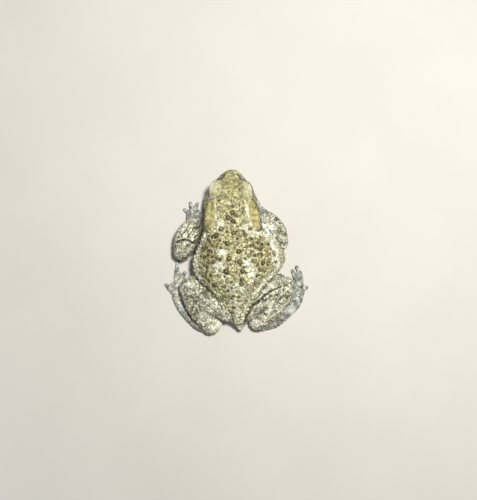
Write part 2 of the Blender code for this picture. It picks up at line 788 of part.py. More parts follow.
def wart_spots():
    """Start and direction of a ray to the skin for each wart, and its radius."""
    draw = np.random.default_rng(SEED)
    down = Vector((0, 0, -1))
    above = 60.0
    spots = [(Vector((x, y, above)), down, radius) for x, y, radius in BACK_WARTS]
    for side in (-1, 1):
        for height, spacing in FLANK_ROWS:
            for y in np.arange(*FLANK_Y_RANGE, spacing):
                along, up = draw.uniform(-0.6, 0.6, 2)
                start = Vector((side * above, y + along, height + up))
                spots.append((start, Vector((-side, 0, 0)), draw.uniform(*FLANK_WART_RADIUS)))
    for _ in range(SMALL_WARTS):
        x, y = draw.uniform(*SMALL_WART_AREA)
        spots.append((Vector((x, y, above)), down, draw.uniform(*SMALL_WART_RADIUS)))
    return spots


def stands_clear(place, tree, distance):
    """True where a place is outside a closed surface and that far from it."""
    nearest, normal, _, gap = tree.find_nearest(place)
    return gap > distance and (place - nearest).dot(normal) > 0


def back_warts(skin, keep_clear):
    """Domes of the back and the flanks, each on the point of skin it grows from."""
    surface = tree_of(skin)
    others = [tree_of(other) for other in keep_clear]
    placed = []
    made = []
    for start, direction, radius in wart_spots():
        place, normal, _, _ = surface.ray_cast(start, direction)
        if place is None:
            continue
        if not all(stands_clear(place, tree, radius + CLEAR_OF_LIMBS) for tree in others):
            continue
        if any((place - spot).length < radius + reach + CLEAR_OF_WARTS for spot, reach in placed):
            continue
        placed.append((place, radius))
        made.append(wart(place, normal, radius))
    return made


def stand_on_origin(parts):
    """Moves the whole toad so that the middle of its underside is the origin."""
    corners = [Vector(vertex.co) for made in parts for vertex in made.data.vertices]
    low = [min(corner[axis] for corner in corners) for axis in range(3)]
    high = [max(corner[axis] for corner in corners) for axis in range(3)]
    shift = Vector((-(low[0] + high[0]) / 2, -(low[1] + high[1]) / 2, -low[2]))
    for made in parts:
        made.data.transform(Matrix.Scale(METRES, 4) @ Matrix.Translation(shift))


def finish(made, name, colour, roughness, parent):
    """Names the part and gives it its own material."""
    made.name = name
    made.data.name = name
    made.data.shade_smooth()
    made.data.set_sharp_from_angle(angle=math.radians(50))
    material = bpy.data.materials.new(name)
    material.use_nodes = True
    shader = material.node_tree.nodes["Principled BSDF"]
    shader.inputs["Base Color"].default_value = (*colour, 1.0)
    shader.inputs["Roughness"].default_value = roughness
    shader.inputs["Metallic"].default_value = 0.0
    made.data.materials.clear()
    made.data.materials.append(material)
    made.parent = parent
    return made


def build():
    clear_scene()
    toad = bpy.data.objects.new("toad", None)
    bpy.context.scene.collection.objects.link(toad)

    whole = whole_trunk()
    skin = thin_out(copy_of(whole), TRUNK_TRIANGLES)
    skull = thin_out(whole, HEAD_TRIANGLES)

    eyes = {name: eye_form(side) for name, side in (("left", -1), ("right", 1))}
    glands = {name: gland_form(name) for name in ("left", "right")}
    limbs = {}
    for name in ("left", "right"):
        limbs["upper_arm_" + name] = limb_form("upper_arm", UPPER_ARMS[name])
        limbs["forearm_" + name] = limb_form("forearm", FOREARMS[name])
        limbs["hand_" + name] = thin_out(hand_form(name), HAND_TRIANGLES)
        limbs["thigh_" + name] = limb_form("thigh", THIGHS[name])
        limbs["shank_" + name] = limb_form("shank", SHANKS[name])
        limbs["ankle_" + name] = limb_form("ankle", ANKLES[name], ANKLE_TRIANGLES)
        limbs["foot_" + name] = thin_out(foot_form(name), FOOT_TRIANGLES)

    # Trunk: warts are fused first, then head, glands and floor are cut away
    torso = copy_of(skin)
    nape = nape_block(GAP)
    warts = back_warts(skin, [nape, *limbs.values(), *glands.values()])
    boolean(torso, warts, "UNION")
    boolean(torso, [nape, floor_block()] + [grown(g) for g in glands.values()], "DIFFERENCE")
    keep_largest(torso)

    # Head: the lower jaw is parted from it along the line of the mouth
    details = [lid_rim(side) for side in (-1, 1)] + [eardrum(skull, side) for side in (-1, 1)]
    ahead = boolean(boolean(skull, details, "UNION"), [nape_block(0.0)], "INTERSECT")
    jaw = boolean(copy_of(ahead), [mouth_block(0.0)], "INTERSECT")
    cuts = [mouth_block(GAP)] + [grown(g) for g in glands.values()]
    for side_name, side in (("left", -1), ("right", 1)):
        cuts += [grown(eyes[side_name]), eye_opening(side), nostril(side)]
    head = keep_largest(boolean(ahead, cuts, "DIFFERENCE"))
    jaw = keep_largest(jaw)

    # Limbs: each is cut by what it grows from and by what it lies against
    trunk = [skin]
    order = {
        "upper_arm": (),
        "forearm": ("upper_arm",),
        "hand": ("forearm", "upper_arm"),
        "thigh": (),
        "shank": ("thigh",),
        "ankle": ("shank", "thigh"),
        "foot": ("ankle", "shank", "thigh"),
    }
    finished = {}
    for name in ("left", "right"):
        for part, neighbours in order.items():
            against = trunk + [limbs[other + "_" + name] for other in neighbours]
            finished[part + "_" + name] = carve(copy_of(limbs[part + "_" + name]), against)

    remove(skin)
    for made in limbs.values():
        remove(made)
    stand_on_origin([torso, head, jaw, *glands.values(), *eyes.values(), *finished.values()])
    finish(torso, "torso", SKIN_COLOUR, 0.6, toad)
    finish(head, "head", PALE_COLOUR, 0.6, toad)
    finish(jaw, "lower_jaw", BELLY_COLOUR, 0.6, toad)
    for name in ("left", "right"):
        finish(glands[name], "parotoid_" + name, GLAND_COLOUR, 0.5, toad)
        finish(eyes[name], "eye_" + name, IRIS_COLOUR, 0.1, toad)
    for name, made in finished.items():
        finish(made, name, LIMB_COLOUR, 0.6, toad)


build()
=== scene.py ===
# Common toad crouched with its limbs folded, life size: skin, eyes, floor, lights and camera.
# The toad faces +Y with its right side towards +X. Lengths are in millimetres until
# meshObject brings a finished mesh into metres.
import math

import bpy
import numpy as np
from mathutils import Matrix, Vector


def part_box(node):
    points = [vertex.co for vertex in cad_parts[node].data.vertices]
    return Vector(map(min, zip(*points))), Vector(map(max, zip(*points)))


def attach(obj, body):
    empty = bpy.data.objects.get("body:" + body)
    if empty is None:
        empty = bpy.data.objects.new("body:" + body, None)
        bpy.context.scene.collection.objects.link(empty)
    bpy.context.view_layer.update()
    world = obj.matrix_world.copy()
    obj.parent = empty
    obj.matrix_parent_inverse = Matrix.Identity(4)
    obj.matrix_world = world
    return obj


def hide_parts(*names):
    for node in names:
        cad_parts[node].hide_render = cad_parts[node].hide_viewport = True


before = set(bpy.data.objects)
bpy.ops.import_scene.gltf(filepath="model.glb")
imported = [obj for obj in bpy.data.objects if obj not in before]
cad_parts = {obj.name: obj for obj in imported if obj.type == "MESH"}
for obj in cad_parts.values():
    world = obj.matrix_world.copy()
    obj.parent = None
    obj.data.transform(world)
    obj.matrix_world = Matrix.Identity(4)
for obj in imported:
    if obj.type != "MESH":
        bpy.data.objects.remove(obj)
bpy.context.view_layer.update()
toMetres = 0.001
seeds = {"wander": 34, "wrinkle": 33, "warts": 23, "grain": 41, "pale": 51, "warm": 52, "blotch": 53}
print("frame loaded:", len(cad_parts), "nodes")


# Numbers and curves

def smoothStep(low, high, value):
    # 0 below low, 1 above high, and 3s^2 - 2s^3 between them
    s = np.clip((value - low) / (high - low), 0.0, 1.0)
    return s * s * (3 - 2 * s)


def hump(value, width):
    # bell curve: e to the power of minus (value / width) squared
    return np.exp(-(value / width) ** 2)


def smoothRows(places, rows, count):
    # rows read at even steps from a cubic curve through the given rows (Hermite form)
    places = np.asarray(places, float)
    rows = np.asarray(rows, float)
    slopes = np.gradient(rows, places, axis=0)
    wanted = np.linspace(places[0], places[-1], count)
    first = np.clip(np.searchsorted(places, wanted, side="right") - 1, 0, len(places) - 2)
    width = (places[first + 1] - places[first])[:, None]
    s = (wanted - places[first])[:, None] / width
    start = rows[first] * (2 * s**3 - 3 * s**2 + 1) + slopes[first] * width * (s**3 - 2 * s**2 + s)
    end = rows[first + 1] * (3 * s**2 - 2 * s**3) + slopes[first + 1] * width * (s**3 - s**2)
    return start + end


def waves(points, size, seed, count=14):
    # soft noise of about -1 to 1: cosines along random directions, with wavelengths round the size
    draw = np.random.default_rng(seed)
    ways = draw.normal(size=(count, 3))
    ways /= np.linalg.norm(ways, axis=1)[:, None]
    ways *= 2 * np.pi / (size * draw.uniform(0.7, 1.4, count))[:, None]
    turns = points @ ways.T + draw.uniform(0, 2 * np.pi, count)
    return np.cos(turns).sum(axis=1) / math.sqrt(count)


def blots(points, spots):
    # soft round patches seen from above: the largest of the bell curves at x, y, half length, half width
    mask = np.zeros(len(points))
    for x, y, halfX, halfY, strength in spots:
        reach = np.hypot((points[:, 0] - x) / halfX, (points[:, 1] - y) / halfY)
        mask = np.maximum(mask, strength * hump(reach, 1.0))
    return mask


def routeDistance(points, route):
    # distance from each point to the nearest stretch of a route of straight stretches
    route = np.asarray(route, float)
    best = np.full(len(points), 1e9)
    for start, end in zip(route[:-1], route[1:]):
        way = end - start
        share = np.clip((points - start) @ way / (way @ way), 0.0, 1.0)
        best = np.minimum(best, np.linalg.norm(points - start - share[:, None] * way, axis=1))
    return best


# Surfaces: each is (points, quads, triangles)

def ringSurface(rings, front, back):
    # quads between neighbouring rings, and a fan of triangles from the end rings to the two tips
    count, sides = rings.shape[:2]
    index = np.arange(count * sides).reshape(count, sides)
    following = np.roll(index, -1, axis=1)
    quads = np.stack([index[:-1], following[:-1], following[1:], index[1:]], axis=-1).reshape(-1, 4)
    frontFan = np.stack([following[0], index[0], np.full(sides, count * sides)], axis=-1)
    backFan = np.stack([index[-1], following[-1], np.full(sides, count * sides + 1)], axis=-1)
    points = np.concatenate([rings.reshape(-1, 3), [front], [back]])
    return points, quads, np.concatenate([frontFan, backFan])


def trunkSurface(rows, sides=120, count=150):
    # upright superellipse sections, |cos|^(2/n) across and |sin|^(2/n) up, one behind another
    table = np.array(sorted(rows), float)
    y, x, half, low, wide, high, squareness = smoothRows(table[:, 0], table, count).T
    turn = np.linspace(0, 2 * np.pi, sides, endpoint=False)
    power = 2 / squareness[:, None]
    cosine = np.sign(np.cos(turn)) * np.abs(np.cos(turn)) ** power
    sine = np.sign(np.sin(turn)) * np.abs(np.sin(turn)) ** power
    rings = np.empty((count, sides, 3))
    rings[:, :, 0] = x[:, None] + half[:, None] * cosine
    rings[:, :, 1] = y[:, None]
    reach = np.where(sine > 0, (high - wide)[:, None], (wide - low)[:, None])
    rings[:, :, 2] = wide[:, None] + reach * sine
    return ringSurface(rings, (x[0], y[0], wide[0]), (x[-1], y[-1], wide[-1]))


def tubeSurface(rows, sides=28, spacing=0.7, roll=0.0, knuckles=0, swell=0.0):
    # ovals carried along a smooth route, rounded off at both ends by shrinking with the cosine;
    # knuckles widen the tube by a cosine of the way along it
    table = np.array(rows, float)
    steps = np.linalg.norm(np.diff(table[:, :3], axis=0), axis=1)
    along = np.concatenate([[0.0], np.cumsum(steps)])
    count = max(5, int(along[-1] / spacing) + 1)
    even = smoothRows(along, table, count)
    centre, half = even[:, :3], even[:, 3:5]
    share = np.linspace(0, 1, count)
    half = half * (1 + swell * np.cos(2 * np.pi * knuckles * share))[:, None]
    forward = np.gradient(centre, axis=0)
    forward /= np.linalg.norm(forward, axis=1)[:, None]
    endAngles = np.radians([20, 40, 58, 74])                # one for each ring of a rounded end
    extra, narrow = len(endAngles), np.cos(endAngles)[:, None]
    first, last = half[0].mean(), half[-1].mean()
    before = centre[0] - forward[0] * (first * np.sin(endAngles[::-1]))[:, None]
    after = centre[-1] + forward[-1] * (last * np.sin(endAngles))[:, None]
    frontTip = centre[0] - forward[0] * first
    backTip = centre[-1] + forward[-1] * last
    centre = np.concatenate([before, centre, after])
    half = np.concatenate([half[:1] * narrow[::-1], half, half[-1:] * narrow])
    forward = np.concatenate([forward[:1].repeat(extra, 0), forward, forward[-1:].repeat(extra, 0)])
    across = np.cross(forward, (0.0, 0.0, 1.0))
    across /= np.linalg.norm(across, axis=1)[:, None]
    rise = np.cross(across, forward)
    tilted = across * math.cos(roll) + rise * math.sin(roll)
    rise = rise * math.cos(roll) - across * math.sin(roll)
    turn = np.linspace(0, 2 * np.pi, sides, endpoint=False)[None, :, None]
    rings = centre[:, None, :] + tilted[:, None, :] * np.cos(turn) * half[:, 0, None, None]
    rings = rings + rise[:, None, :] * np.sin(turn) * half[:, 1, None, None]
    return ringSurface(rings, frontTip, backTip)


def ballSurface(centre, size, rings=24, sides=36):
    # sphere of latitude and longitude, stretched to the three half sizes
    latitude = np.linspace(0, np.pi, rings + 2)[1:-1, None]
    longitude = np.linspace(0, 2 * np.pi, sides, endpoint=False)[None, :]
    ball = np.stack([
        np.sin(latitude) * np.cos(longitude),
        np.sin(latitude) * np.sin(longitude),
        np.cos(latitude) * np.ones_like(longitude),
    ], axis=-1)
    centre, size = np.array(centre, float), np.array(size, float)
    top, bottom = centre + size * (0, 0, 1), centre - size * (0, 0, 1)
    return ringSurface(centre + size * ball, top, bottom)


def webSurface(root, first, second, low, high, notch):
    # flat sheet between two toes whose free edge dips towards the foot like a hanging chain:
    # a fan of points from the root to a parabola between the two toes
    share = np.linspace(0, 1, 9)[:, None]
    edge = first + (second - first) * share
    edge = edge + (root - edge) * (4 * notch * share * (1 - share))
    outline = np.concatenate([[root], edge])
    count = len(outline)
    top = np.column_stack([outline, np.full(count, high)])
    bottom = np.column_stack([outline, np.full(count, low)])
    index = np.arange(count)
    following = np.roll(index, -1)
    walls = np.stack([index, index + count, following + count, following], axis=-1)
    fan = np.stack([np.zeros(count - 2, int), index[1:-1], index[2:]], axis=-1)
    return np.concatenate([top, bottom]), walls, np.concatenate([fan, fan[:, ::-1] + count])


def joined(surfaces):
    # the surfaces one after another in one set of arrays, with their point numbers moved on
    points, quads, triangles, start = [], [], [], 0
    for p, q, t in surfaces:
        points.append(p)
        quads.append(q + start)
        triangles.append(t + start)
        start += len(p)
    return np.concatenate(points), np.concatenate(quads), np.concatenate(triangles)


def moved(surface, change):
    # the same faces on points that the given function has changed
    points, quads, triangles = surface
    return change(points), quads, triangles


def meshObject(name, points, quads, triangles=None, scale=1.0):
    # a new object at the origin, with its place in its mesh
    mesh = bpy.data.meshes.new(name)
    faces = quads.tolist() + ([] if triangles is None else triangles.tolist())
    mesh.from_pydata(points * scale, [], faces)
    mesh.update()
    made = bpy.data.objects.new(name, mesh)
    bpy.context.scene.collection.objects.link(made)
    return made


def applied(made):
    # the object with its modifiers worked into the mesh
    seen = made.evaluated_get(bpy.context.evaluated_depsgraph_get())
    finished = bpy.data.meshes.new_from_object(seen)
    made.modifiers.clear()
    made.data = finished
    return made


def readMesh(made):
    # points, quads and edges of a mesh of four-sided faces, as whole arrays
    mesh = made.data
    points = np.empty(len(mesh.vertices) * 3)
    mesh.vertices.foreach_get("co", points)
    corners = np.empty(len(mesh.loops), int)
    mesh.loops.foreach_get("vertex_index", corners)
    edges = np.empty(len(mesh.edges) * 2, int)
    mesh.edges.foreach_get("vertices", edges)
    return points.reshape(-1, 3), corners.reshape(-1, 4), edges.reshape(-1, 2)


def oneSkin(surfaces, voxel):
    # one closed skin round all the surfaces, read on a lattice of the voxel's size
    made = meshObject("lattice", *joined(surfaces))
    remesh = made.modifiers.new("lattice", "REMESH")
    remesh.mode = "VOXEL"
    remesh.voxel_size = voxel
    arrays = readMesh(applied(made))
    bpy.data.objects.remove(made)
    return arrays


def neighbourMean(values, edges):
    # mean of the values at the far ends of each point's edges
    a, b = edges[:, 0], edges[:, 1]
    size = len(values)
    count = np.bincount(a, minlength=size) + np.bincount(b, minlength=size)
    columns = values.reshape(size, -1).T
    total = [np.bincount(a, c[b], size) + np.bincount(b, c[a], size) for c in columns]
    return (np.array(total) / count).T.reshape(values.shape)


def relaxed(values, edges, share, passes):
    # each point moves its share of the way to the mean of its neighbours, again and again
    share = np.asarray(share, float)
    if values.ndim == 2 and share.ndim == 1:
        share = share[:, None]
    for _ in range(passes):
        values = values + (neighbourMean(values, edges) - values) * share
    return values


def outward(points, quads):
    # each point's normal: the sum of its faces' diagonals' cross products, made one long
    corner = points[quads]
    cross = np.cross(corner[:, 2] - corner[:, 0], corner[:, 3] - corner[:, 1])
    total = [np.bincount(quads.ravel(), np.repeat(cross[:, axis], 4), len(points)) for axis in range(3)]
    normals = np.array(total).T
    return normals / np.maximum(np.linalg.norm(normals, axis=1), 1e-12)[:, None]


# Head, in its own frame: y runs forward from between the eyes to the snout

head = {
    "place": (-2.7, 31.7, 0.0),
    "turn": math.radians(-2.0),
    # y, x of the middle, half width, lowest z, z where it is widest, highest z, squareness
    "rows": (
        (-15.0, 0.9, 12.8, 5.6, 11.0, 22.6, 2.4),
        (-8.0, 1.0, 14.1, 4.8, 10.8, 22.6, 2.6),
        (-4.0, 0.6, 13.3, 4.9, 10.6, 22.0, 2.7),
        (0.0, 0.0, 11.6, 5.4, 10.6, 21.0, 2.7),
        (4.0, 0.0, 8.9, 6.3, 10.8, 19.6, 2.5),
        (7.5, 0.1, 5.9, 7.5, 11.2, 17.8, 2.3),
        (9.8, 0.4, 3.4, 8.8, 12.0, 16.2, 2.1),
        (10.9, 0.6, 1.4, 10.8, 12.8, 14.8, 2.0),
    ),
    "snoutTip": 11.2,
    "lid": ((7.3, 0.0, 17.5), (4.4, 5.8, 4.9)),             # middle and half sizes
    "ridge": ((5.8, 3.6, 18.4), (4.0, 6.6, 17.2), (2.4, 9.2, 15.6)),
    "ridgeRadius": 1.1,
    "lipRadius": 0.75,
    "lipInset": 0.35,
    "lipRows": 17,
    "lipPower": 1.7,                                        # crowds the rows of the lip at the snout
    # height of the bead, its place above the line of the mouth and half width
    "lipBeads": ((0.16, 0.75, 0.4), (0.12, -0.8, 0.4)),
    "mouthHeight": 10.4,
    "mouthCorner": -8.5,
    "mouthArch": 0.9,
    "mouthDepth": 0.6,
    "nostril": (2.9, 8.7, 16.3),
    "nostrilRadius": 0.62,
    "nostrilDepth": 1.1,
    "nostrilRim": 0.18,
    # dark lines seen from above, in the head's frame: route, width, strength on the left and right. Those in
    # front of the eyes and along the outer side of the ridges of the snout are painted shade
    "lines": (
        (((3.4, 8.2), (4.2, 6.7), (5.6, 5.7), (7.4, 5.4)), 0.5, 1.0, 1.0),
        (((7.4, 5.4), (9.4, 4.5), (10.8, 2.8), (11.2, 0.8), (11.1, -1.2)), 0.5, 0.35, 1.0),
        (((5.4, 5.8), (7.2, 5.6)), 0.8, 1.0, 0.5),
        (((4.6, 8.0), (6.6, 6.8), (8.8, 5.6)), 0.7, 0.5, 0.35),
        (((11.8, -3.2), (12.6, -6.4), (12.8, -9.0)), 0.4, 0.2, 0.7),
    ),
    "eardrum": (16.0, -6.2, 14.4),                          # a place beside the head, level with it
    "eardrumRadius": 1.5,
    "eardrumRing": 0.24,
    "eardrumDish": 0.16,
    "lineDepth": 0.3,
    "lineHeights": (11.6, 12.6),                            # heights with none of them and all of them
}

eye = {
    "place": (7.3, 0.3, 17.1),
    "radius": 4.1,
    "aim": math.radians(14.0),
    "opening": (3.3, 2.5),                                  # half length and half height
    "socket": 3.3,                                          # the skin lies this deep behind the eye
    "lidThickness": 0.42,
    "bead": 0.16,
    "cornea": 0.1,
    "near": 8.5,                                            # only skin this near to the middle is opened
    # where the way out from the opening is between the first two, its points are brought to the third
    "edges": ((0.88, 0.97, 0.9), (0.97, 1.09, 1.02)),
    "lidFolds": ((0.2, 1.4, 0.07), (0.12, 1.62, 0.06)),     # depth, way out and half width
}


def toToad(points, side=1):
    # from the head's frame to the toad's: mirror, turn about z, then move
    x, y, z = np.moveaxis(np.asarray(points, float), -1, 0)
    x = x * side
    c, s = math.cos(head["turn"]), math.sin(head["turn"])
    return np.stack([x * c - y * s, x * s + y * c, z], axis=-1) + head["place"]


def toHead(points, side=1):
    # the way back: move, turn the other way, then mirror
    x, y, z = np.moveaxis(np.asarray(points, float) - head["place"], -1, 0)
    c, s = math.cos(head["turn"]), math.sin(head["turn"])
    return np.stack([(x * c + y * s) * side, y * c - x * s, z], axis=-1)


def toEye(points, side):
    # eye frame: first number outward along its aim, then forward, then up
    x, y, z = np.moveaxis(toHead(points, side) - eye["place"], -1, 0)
    c, s = math.cos(eye["aim"]), math.sin(eye["aim"])
    return np.stack([x * c + y * s, y * c - x * s, z], axis=-1)


def fromEye(points, side):
    # the way back: turn the other way, then move, and on from the head's frame to the toad's
    x, y, z = np.moveaxis(points, -1, 0)
    c, s = math.cos(eye["aim"]), math.sin(eye["aim"])
    return toToad(np.stack([x * c - y * s, x * s + y * c, z], axis=-1) + eye["place"], side)


def mouthLine(y):
    # height of the line of the mouth: level, then rising with the square of the way to the snout
    share = np.maximum(0.0, (y - head["mouthCorner"]) / (head["snoutTip"] - head["mouthCorner"]))
    return head["mouthHeight"] + head["mouthArch"] * share**2


def lipSurface():
    # bead along the edge of the jaws, corner to corner, round the outline of the head
    share = np.linspace(-1, 1, head["lipRows"])
    table = np.array(sorted(head["rows"]), float)
    y = head["snoutTip"] - (head["snoutTip"] - head["mouthCorner"]) * np.abs(share) ** head["lipPower"]
    half = np.interp(y, table[:, 0], table[:, 2])
    x = np.sign(share) * np.maximum(half - head["lipInset"], 0.0)
    y = np.minimum(y, head["snoutTip"] - 0.8 * head["lipRadius"])
    radius = np.full_like(x, head["lipRadius"])
    return tubeSurface(np.column_stack([x, y, mouthLine(y), radius, radius]), sides=16, spacing=0.6)


def headSurfaces():
    # skull and lips, and on each side the ball of the lids and the ridge of the snout
    found = [trunkSurface(head["rows"], count=90), lipSurface()]
    placed = [moved(surface, toToad) for surface in found]
    radius = head["ridgeRadius"]
    ridge = tubeSurface([place + (radius, radius) for place in head["ridge"]], sides=16)
    for side in (-1, 1):
        placed.append(moved(ballSurface(*head["lid"]), lambda p: toToad(p, side)))
        placed.append(moved(ridge, lambda p: toToad(p, side)))
    return placed


# Trunk, glands and limbs

trunk = {
    "rows": (
        (27.0, -1.8, 9.5, 7.5, 12.0, 20.4, 2.5),
        (24.0, -1.6, 12.8, 6.2, 11.5, 22.2, 2.9),
        (18.0, -1.7, 14.4, 4.6, 11.5, 23.8, 2.9),
        (11.0, -1.2, 16.0, 0.8, 11.0, 26.0, 2.6),
        (4.0, 0.9, 20.1, -0.6, 10.8, 28.1, 2.3),
        (-2.0, 1.8, 23.6, -0.8, 10.8, 29.2, 2.25),
        (-7.0, 0.7, 23.0, -0.8, 10.8, 29.5, 2.25),
        (-12.0, -0.6, 20.4, -0.8, 10.8, 29.0, 2.25),
        (-17.0, -0.8, 16.8, -0.7, 10.8, 27.2, 2.25),
        (-22.0, -0.3, 13.0, -0.4, 10.8, 24.4, 2.25),
        (-27.0, 0.5, 10.2, 0.6, 10.6, 21.0, 2.25),
        (-32.0, 0.9, 7.2, 2.6, 10.0, 17.4, 2.25),
        (-36.0, 1.6, 4.6, 4.6, 9.2, 14.0, 2.25),
        (-38.6, 2.0, 1.8, 6.6, 8.8, 11.4, 2.25),
    ),
    "vent": ((2.3, -38.6, 7.6), (2.0, 2.3, 1.6)),
    # bones that lift the skin of the back: route, height and width
    "bones": (
        (((-3.2, -13.0, 29.0), (-1.0, -24.0, 23.4), (0.6, -33.0, 16.5)), 0.35, 1.3),
        (((3.4, -13.0, 29.0), (2.0, -24.0, 23.4), (1.8, -33.0, 16.5)), 0.35, 1.3),
        (((-9.6, 12.5, 23.2), (-12.6, 7.5, 22.4)), 0.4, 2.4),
        (((6.4, 13.0, 23.2), (10.6, 8.0, 22.8)), 0.4, 2.4),
    ),
}

glands = {
    "ends": {
        "left": ((-12.6, 24.6, 17.8), (-13.9, 12.2, 17.8)),
        "right": ((7.6, 24.8, 18.3), (10.4, 12.8, 18.4)),
    },
    "halfWidth": 3.1,
    "halfHeight": 2.3,
    "arch": 1.2,
    "endShare": 0.68,
    "roll": math.radians(34.0),
    # half width seen from above, height that it swells by, depth of the groove round it
    "plan": 2.9, "swell": 0.45, "groove": 0.38,
    "heights": (14.5, 16.5),                                # heights with none of that and all of it
}

# one row is x, y, z, half width and half height of a section
limbs = {
    "upperArmLeft": (
        (-11.0, 14.5, 11.0, 5.0, 5.2), (-18.0, 9.3, 7.4, 4.6, 4.3), (-25.6, 2.4, 7.8, 4.3, 4.3),
    ),
    "upperArmRight": (
        (8.5, 15.5, 12.0, 5.0, 5.4), (15.4, 12.2, 11.0, 4.9, 5.0), (21.6, 7.2, 9.4, 4.3, 4.5),
    ),
    "forearmLeft": (
        (-27.9, 0.6, 9.4, 4.7, 4.6), (-26.4, 6.6, 9.8, 5.8, 5.2),
        (-24.6, 12.0, 7.6, 4.9, 4.4), (-23.3, 15.6, 4.8, 3.4, 3.0),
    ),
    "forearmRight": (
        (22.9, 5.2, 7.8, 4.1, 4.2), (21.4, 10.6, 7.4, 4.8, 4.6),
        (19.0, 15.6, 5.8, 3.9, 3.8), (15.8, 18.8, 3.9, 3.2, 2.7),
    ),
    "thighLeft": (
        (-4.0, -30.0, 9.6, 6.0, 6.2), (-13.6, -24.8, 10.8, 6.6, 6.6), (-22.9, -17.9, 10.8, 5.8, 5.8),
    ),
    "thighRight": (
        (5.6, -30.0, 9.6, 5.6, 6.0), (14.0, -22.8, 10.8, 5.6, 6.2), (21.6, -15.8, 11.0, 4.6, 5.2),
    ),
    "shankLeft": (
        (-25.0, -18.6, 9.4, 4.6, 5.0), (-20.4, -28.0, 8.6, 5.6, 5.2), (-12.9, -37.9, 5.8, 5.1, 4.3),
    ),
    "shankRight": (
        (26.0, -17.8, 9.2, 4.4, 4.8), (19.4, -27.4, 8.6, 6.0, 5.2), (11.2, -36.2, 5.8, 4.8, 4.2),
    ),
    "ankleLeft": (
        (-14.6, -39.4, 3.4, 2.8, 2.8), (-19.0, -38.6, 2.9, 2.4, 2.4), (-24.2, -34.4, 2.5, 2.3, 2.2),
    ),
    "ankleRight": (
        (13.4, -38.0, 3.4, 2.8, 2.8), (20.0, -36.8, 3.0, 2.5, 2.5), (26.4, -32.0, 2.6, 2.5, 2.3),
    ),
}

# palm from wrist to knuckles, then the tip of each finger, inner first
hands = {
    "left": {
        "palm": ((-23.1, 16.0, 3.6, 3.0, 2.4), (-22.6, 19.4, 1.9, 3.9, 1.9)),
        "tips": ((-18.2, 22.2), (-20.6, 26.0), (-24.4, 26.2), (-27.4, 22.6)),
    },
    "right": {
        "palm": ((15.4, 19.2, 2.9, 2.9, 2.1), (12.2, 21.0, 1.8, 3.6, 1.8)),
        "tips": ((6.6, 21.4), (5.4, 24.8), (7.8, 27.4), (11.6, 26.4)),
    },
}
fingers = {"root": 1.3, "tip": 0.85, "rootShare": 0.18, "middleShare": 0.62, "lift": 0.5, "swell": 0.07}

# sole from ankle to toes, then each toe's middle and tip, inner first
feet = {
    "left": {
        "sole": ((-24.8, -33.8, 2.3, 2.3, 2.1), (-28.4, -28.6, 2.0, 2.8, 1.9), (-30.6, -22.8, 1.6, 3.4, 1.6)),
        "toes": (
            ((-26.6, -22.4), (-24.6, -21.0)),
            ((-27.2, -18.4), (-25.0, -15.2)),
            ((-29.6, -15.6), (-27.2, -10.6)),
            ((-31.6, -13.2), (-31.0, -4.8)),
            ((-34.4, -19.6), (-37.0, -17.0)),
        ),
    },
    "right": {
        "sole": ((27.0, -31.4, 2.3, 2.5, 2.1), (31.0, -26.6, 2.0, 3.0, 1.9), (32.6, -20.8, 1.6, 3.4, 1.6)),
        "toes": (
            ((28.4, -20.6), (26.6, -18.8)),
            ((28.8, -16.6), (27.2, -13.6)),
            ((31.2, -13.6), (29.6, -9.6)),
            ((34.0, -12.8), (31.8, -7.6)),
            ((35.6, -19.0), (37.0, -18.4)),
        ),
    },
}
toes = {"root": 1.55, "tip": 0.95, "rootShare": 0.25, "lift": 0.36, "swell": 0.06}
web = {
    "low": 0.5, "high": 1.8,
    # inner pair of toes first: how far from middle to tip the free edge starts on each, and its dip
    "edges": ((0.8, 0.3, 0.2), (0.85, 0.35, 0.2), (0.95, 0.65, 0.1), (0.0, 0.95, 0.12)),
}


def digitSurface(start, middle, tip, settings):
    # tapering tube from the knuckle over an arched middle down to the tip
    rows = (
        tuple(start) + (settings["root"], settings["root"]),
        tuple(middle) + (settings["tip"] + settings["lift"], settings["root"] * 0.85, settings["root"] * 0.8),
        tuple(tip) + (settings["tip"] * 0.8, settings["tip"], settings["tip"]),
    )
    return tubeSurface(rows, sides=18, spacing=0.4, knuckles=3, swell=settings["swell"])


def handSurfaces(hand):
    # palm, and fingers that start at a share of the way from the knuckles to their tips
    found = [tubeSurface(hand["palm"])]
    knuckles = np.array(hand["palm"][1][:3])
    for tip in hand["tips"]:
        reach = np.array(tip + (fingers["tip"],)) - knuckles
        start = knuckles + reach * fingers["rootShare"]
        middle = (knuckles + reach * fingers["middleShare"])[:2]
        found.append(digitSurface(start, middle, tip, fingers))
    return found


def footSurfaces(foot):
    # sole, toes, and a web between each toe and the next
    found = [tubeSurface(foot["sole"])]
    ballOfFoot = np.array(foot["sole"][-1][:3])
    for middle, tip in foot["toes"]:
        start = ballOfFoot + (np.array(middle + (toes["root"],)) - ballOfFoot) * toes["rootShare"]
        found.append(digitSurface(start, middle, tip, toes))
    rays = np.array(foot["toes"])
    for inner, outer, (innerShare, outerShare, notch) in zip(rays, rays[1:], web["edges"]):
        first = inner[0] + (inner[1] - inner[0]) * innerShare
        second = outer[0] + (outer[1] - outer[0]) * outerShare
        found.append(webSurface(ballOfFoot[:2], first, second, web["low"], web["high"], notch))
    return found


def glandSurface(sideName):
    # oval tube between the gland's two ends, widest and highest at its middle, rolled outward
    (x0, y0, z0), (x1, y1, z1) = glands["ends"][sideName]
    wide, tall, share = glands["halfWidth"], glands["halfHeight"], glands["endShare"]
    rows = (
        (x0, y0, z0, wide * share, tall * share),
        ((x0 + x1) / 2, (y0 + y1) / 2, (z0 + z1) / 2 + glands["arch"], wide, tall),
        (x1, y1, z1, wide * share, tall * share),
    )
    roll = glands["roll"] if sideName == "left" else -glands["roll"]
    return tubeSurface(rows, roll=roll)


# Building the body: head and trunk run together first, then everything becomes one skin

